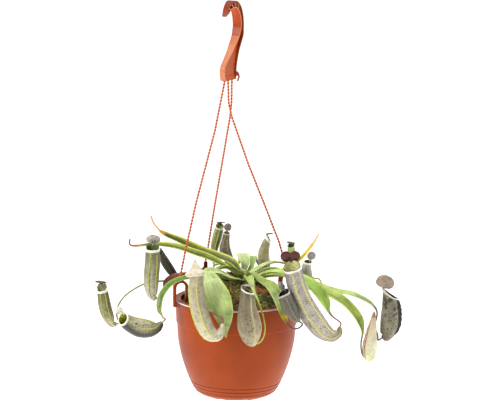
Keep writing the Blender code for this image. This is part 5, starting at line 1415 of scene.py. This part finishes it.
class PLANT_OT_stage(bpy.types.Operator):
    """Set up the camera, the soft lights and the pale floor far below the hanging pot"""
    bl_idname = "plant.stage"
    bl_label = "Stage"
    bl_options = {"REGISTER", "UNDO"}

    def execute(self, context):
        settings, scene = context.scene.plant_stage, context.scene
        aim = in_place(AIM)
        ahead = Vector((0, cos(settings.pitch), -sin(settings.pitch)))
        right, up = Vector((1, 0, 0)), Vector((0, sin(settings.pitch), cos(settings.pitch)))
        right, up = right * cos(ROLL) + up * sin(ROLL), up * cos(ROLL) - right * sin(ROLL)
        data = bpy.data.cameras.new("camera")
        data.lens, data.sensor_width, data.clip_end = settings.lens, 36, 100
        camera = bpy.data.objects.new("camera", data)
        scene.collection.objects.link(camera)
        rows = zip(right, up, -ahead, aim - ahead * settings.distance)
        camera.matrix_world = Matrix([*rows, (0, 0, 0, 1)])
        scene.camera = camera

        bpy.ops.object.select_all(action="DESELECT")
        bpy.ops.mesh.primitive_plane_add(size=60, location=(0, 0, PLANT.z - settings.drop))
        floor = context.object
        floor.name = "floor"
        paper, tree, surface = new_finish("matte_paper", Roughness=0.9)
        surface.inputs["Base Color"].default_value = settings.floor
        surface.inputs["Emission Color"].default_value = (1, 1, 1, 1)
        surface.inputs["Emission Strength"].default_value = FLOOR_GLOW
        floor.data.materials.append(paper)
        bpy.ops.object.transform_apply(location=True, rotation=True, scale=True)

        world = bpy.data.worlds.new("soft_room")
        world.use_nodes = True
        tree = world.node_tree
        backdrop = tree.nodes["Background"]
        backdrop.inputs["Color"].default_value = (1, 1, 1, 1)
        way = node(tree, "SeparateXYZ", {0: node(tree, "TexCoord")})
        white = node(tree, "MapRange", {"Value": way.outputs[1], "From Min": -0.6, "From Max": 0.5,
                                        "To Min": 0.22, "To Max": 0.95})
        tree.links.new(white.outputs[0], backdrop.inputs["Strength"])
        scene.world = world
        for name, place, size, power in LIGHTS:
            light = bpy.data.lights.new(name, "AREA")
            light.shape, light.size, light.energy = "DISK", size, power
            lamp = bpy.data.objects.new(name, light)
            lamp.location = in_place(place)
            lamp.rotation_euler = (in_place((0, 0, 180)) - lamp.location).to_track_quat("-Z", "Y").to_euler()
            scene.collection.objects.link(lamp)
        scene.view_settings.view_transform = "Standard"
        return {"FINISHED"}


class PLANT_PT_panel(bpy.types.Panel):
    """Lists the steps that build the plant, and their settings"""
    bl_idname = "PLANT_PT_panel"
    bl_label = "Hanging Pitcher Plant"
    bl_space_type = "VIEW_3D"
    bl_region_type = "UI"
    bl_category = "Plant"

    def draw(self, context):
        groups = (("plant_stage", ("stage",)), ("plant_pot", ("pot", "soil")),
                  ("plant_hanger", ("hanger", "strands")), ("plant_growth", ("leaves", "pitchers")))
        for group, operators in groups:
            box, settings = self.layout.box(), getattr(context.scene, group)
            for name in type(settings).__annotations__:
                box.prop(settings, name)
            for name in operators:
                box.operator("plant." + name)


SETTINGS = {"plant_pot": PotSettings, "plant_hanger": HangerSettings, "plant_growth": PlantSettings,
            "plant_stage": StageSettings}
OPERATORS = (PLANT_OT_stage, PLANT_OT_strands, PLANT_OT_pot, PLANT_OT_soil, PLANT_OT_hanger, PLANT_OT_leaves,
             PLANT_OT_pitchers)


def register():
    for cls in (*SETTINGS.values(), *OPERATORS, PLANT_PT_panel):
        bpy.utils.register_class(cls)
    for name, group in SETTINGS.items():
        setattr(bpy.types.Scene, name, bpy.props.PointerProperty(type=group))


def unregister():
    for name in SETTINGS:
        delattr(bpy.types.Scene, name)
    for cls in reversed((*SETTINGS.values(), *OPERATORS, PLANT_PT_panel)):
        bpy.utils.unregister_class(cls)


def main():
    register()
    for operator in OPERATORS:
        group, name = operator.bl_idname.split(".")
        getattr(getattr(bpy.ops, group), name)()


if __name__ == "__main__":
    main()
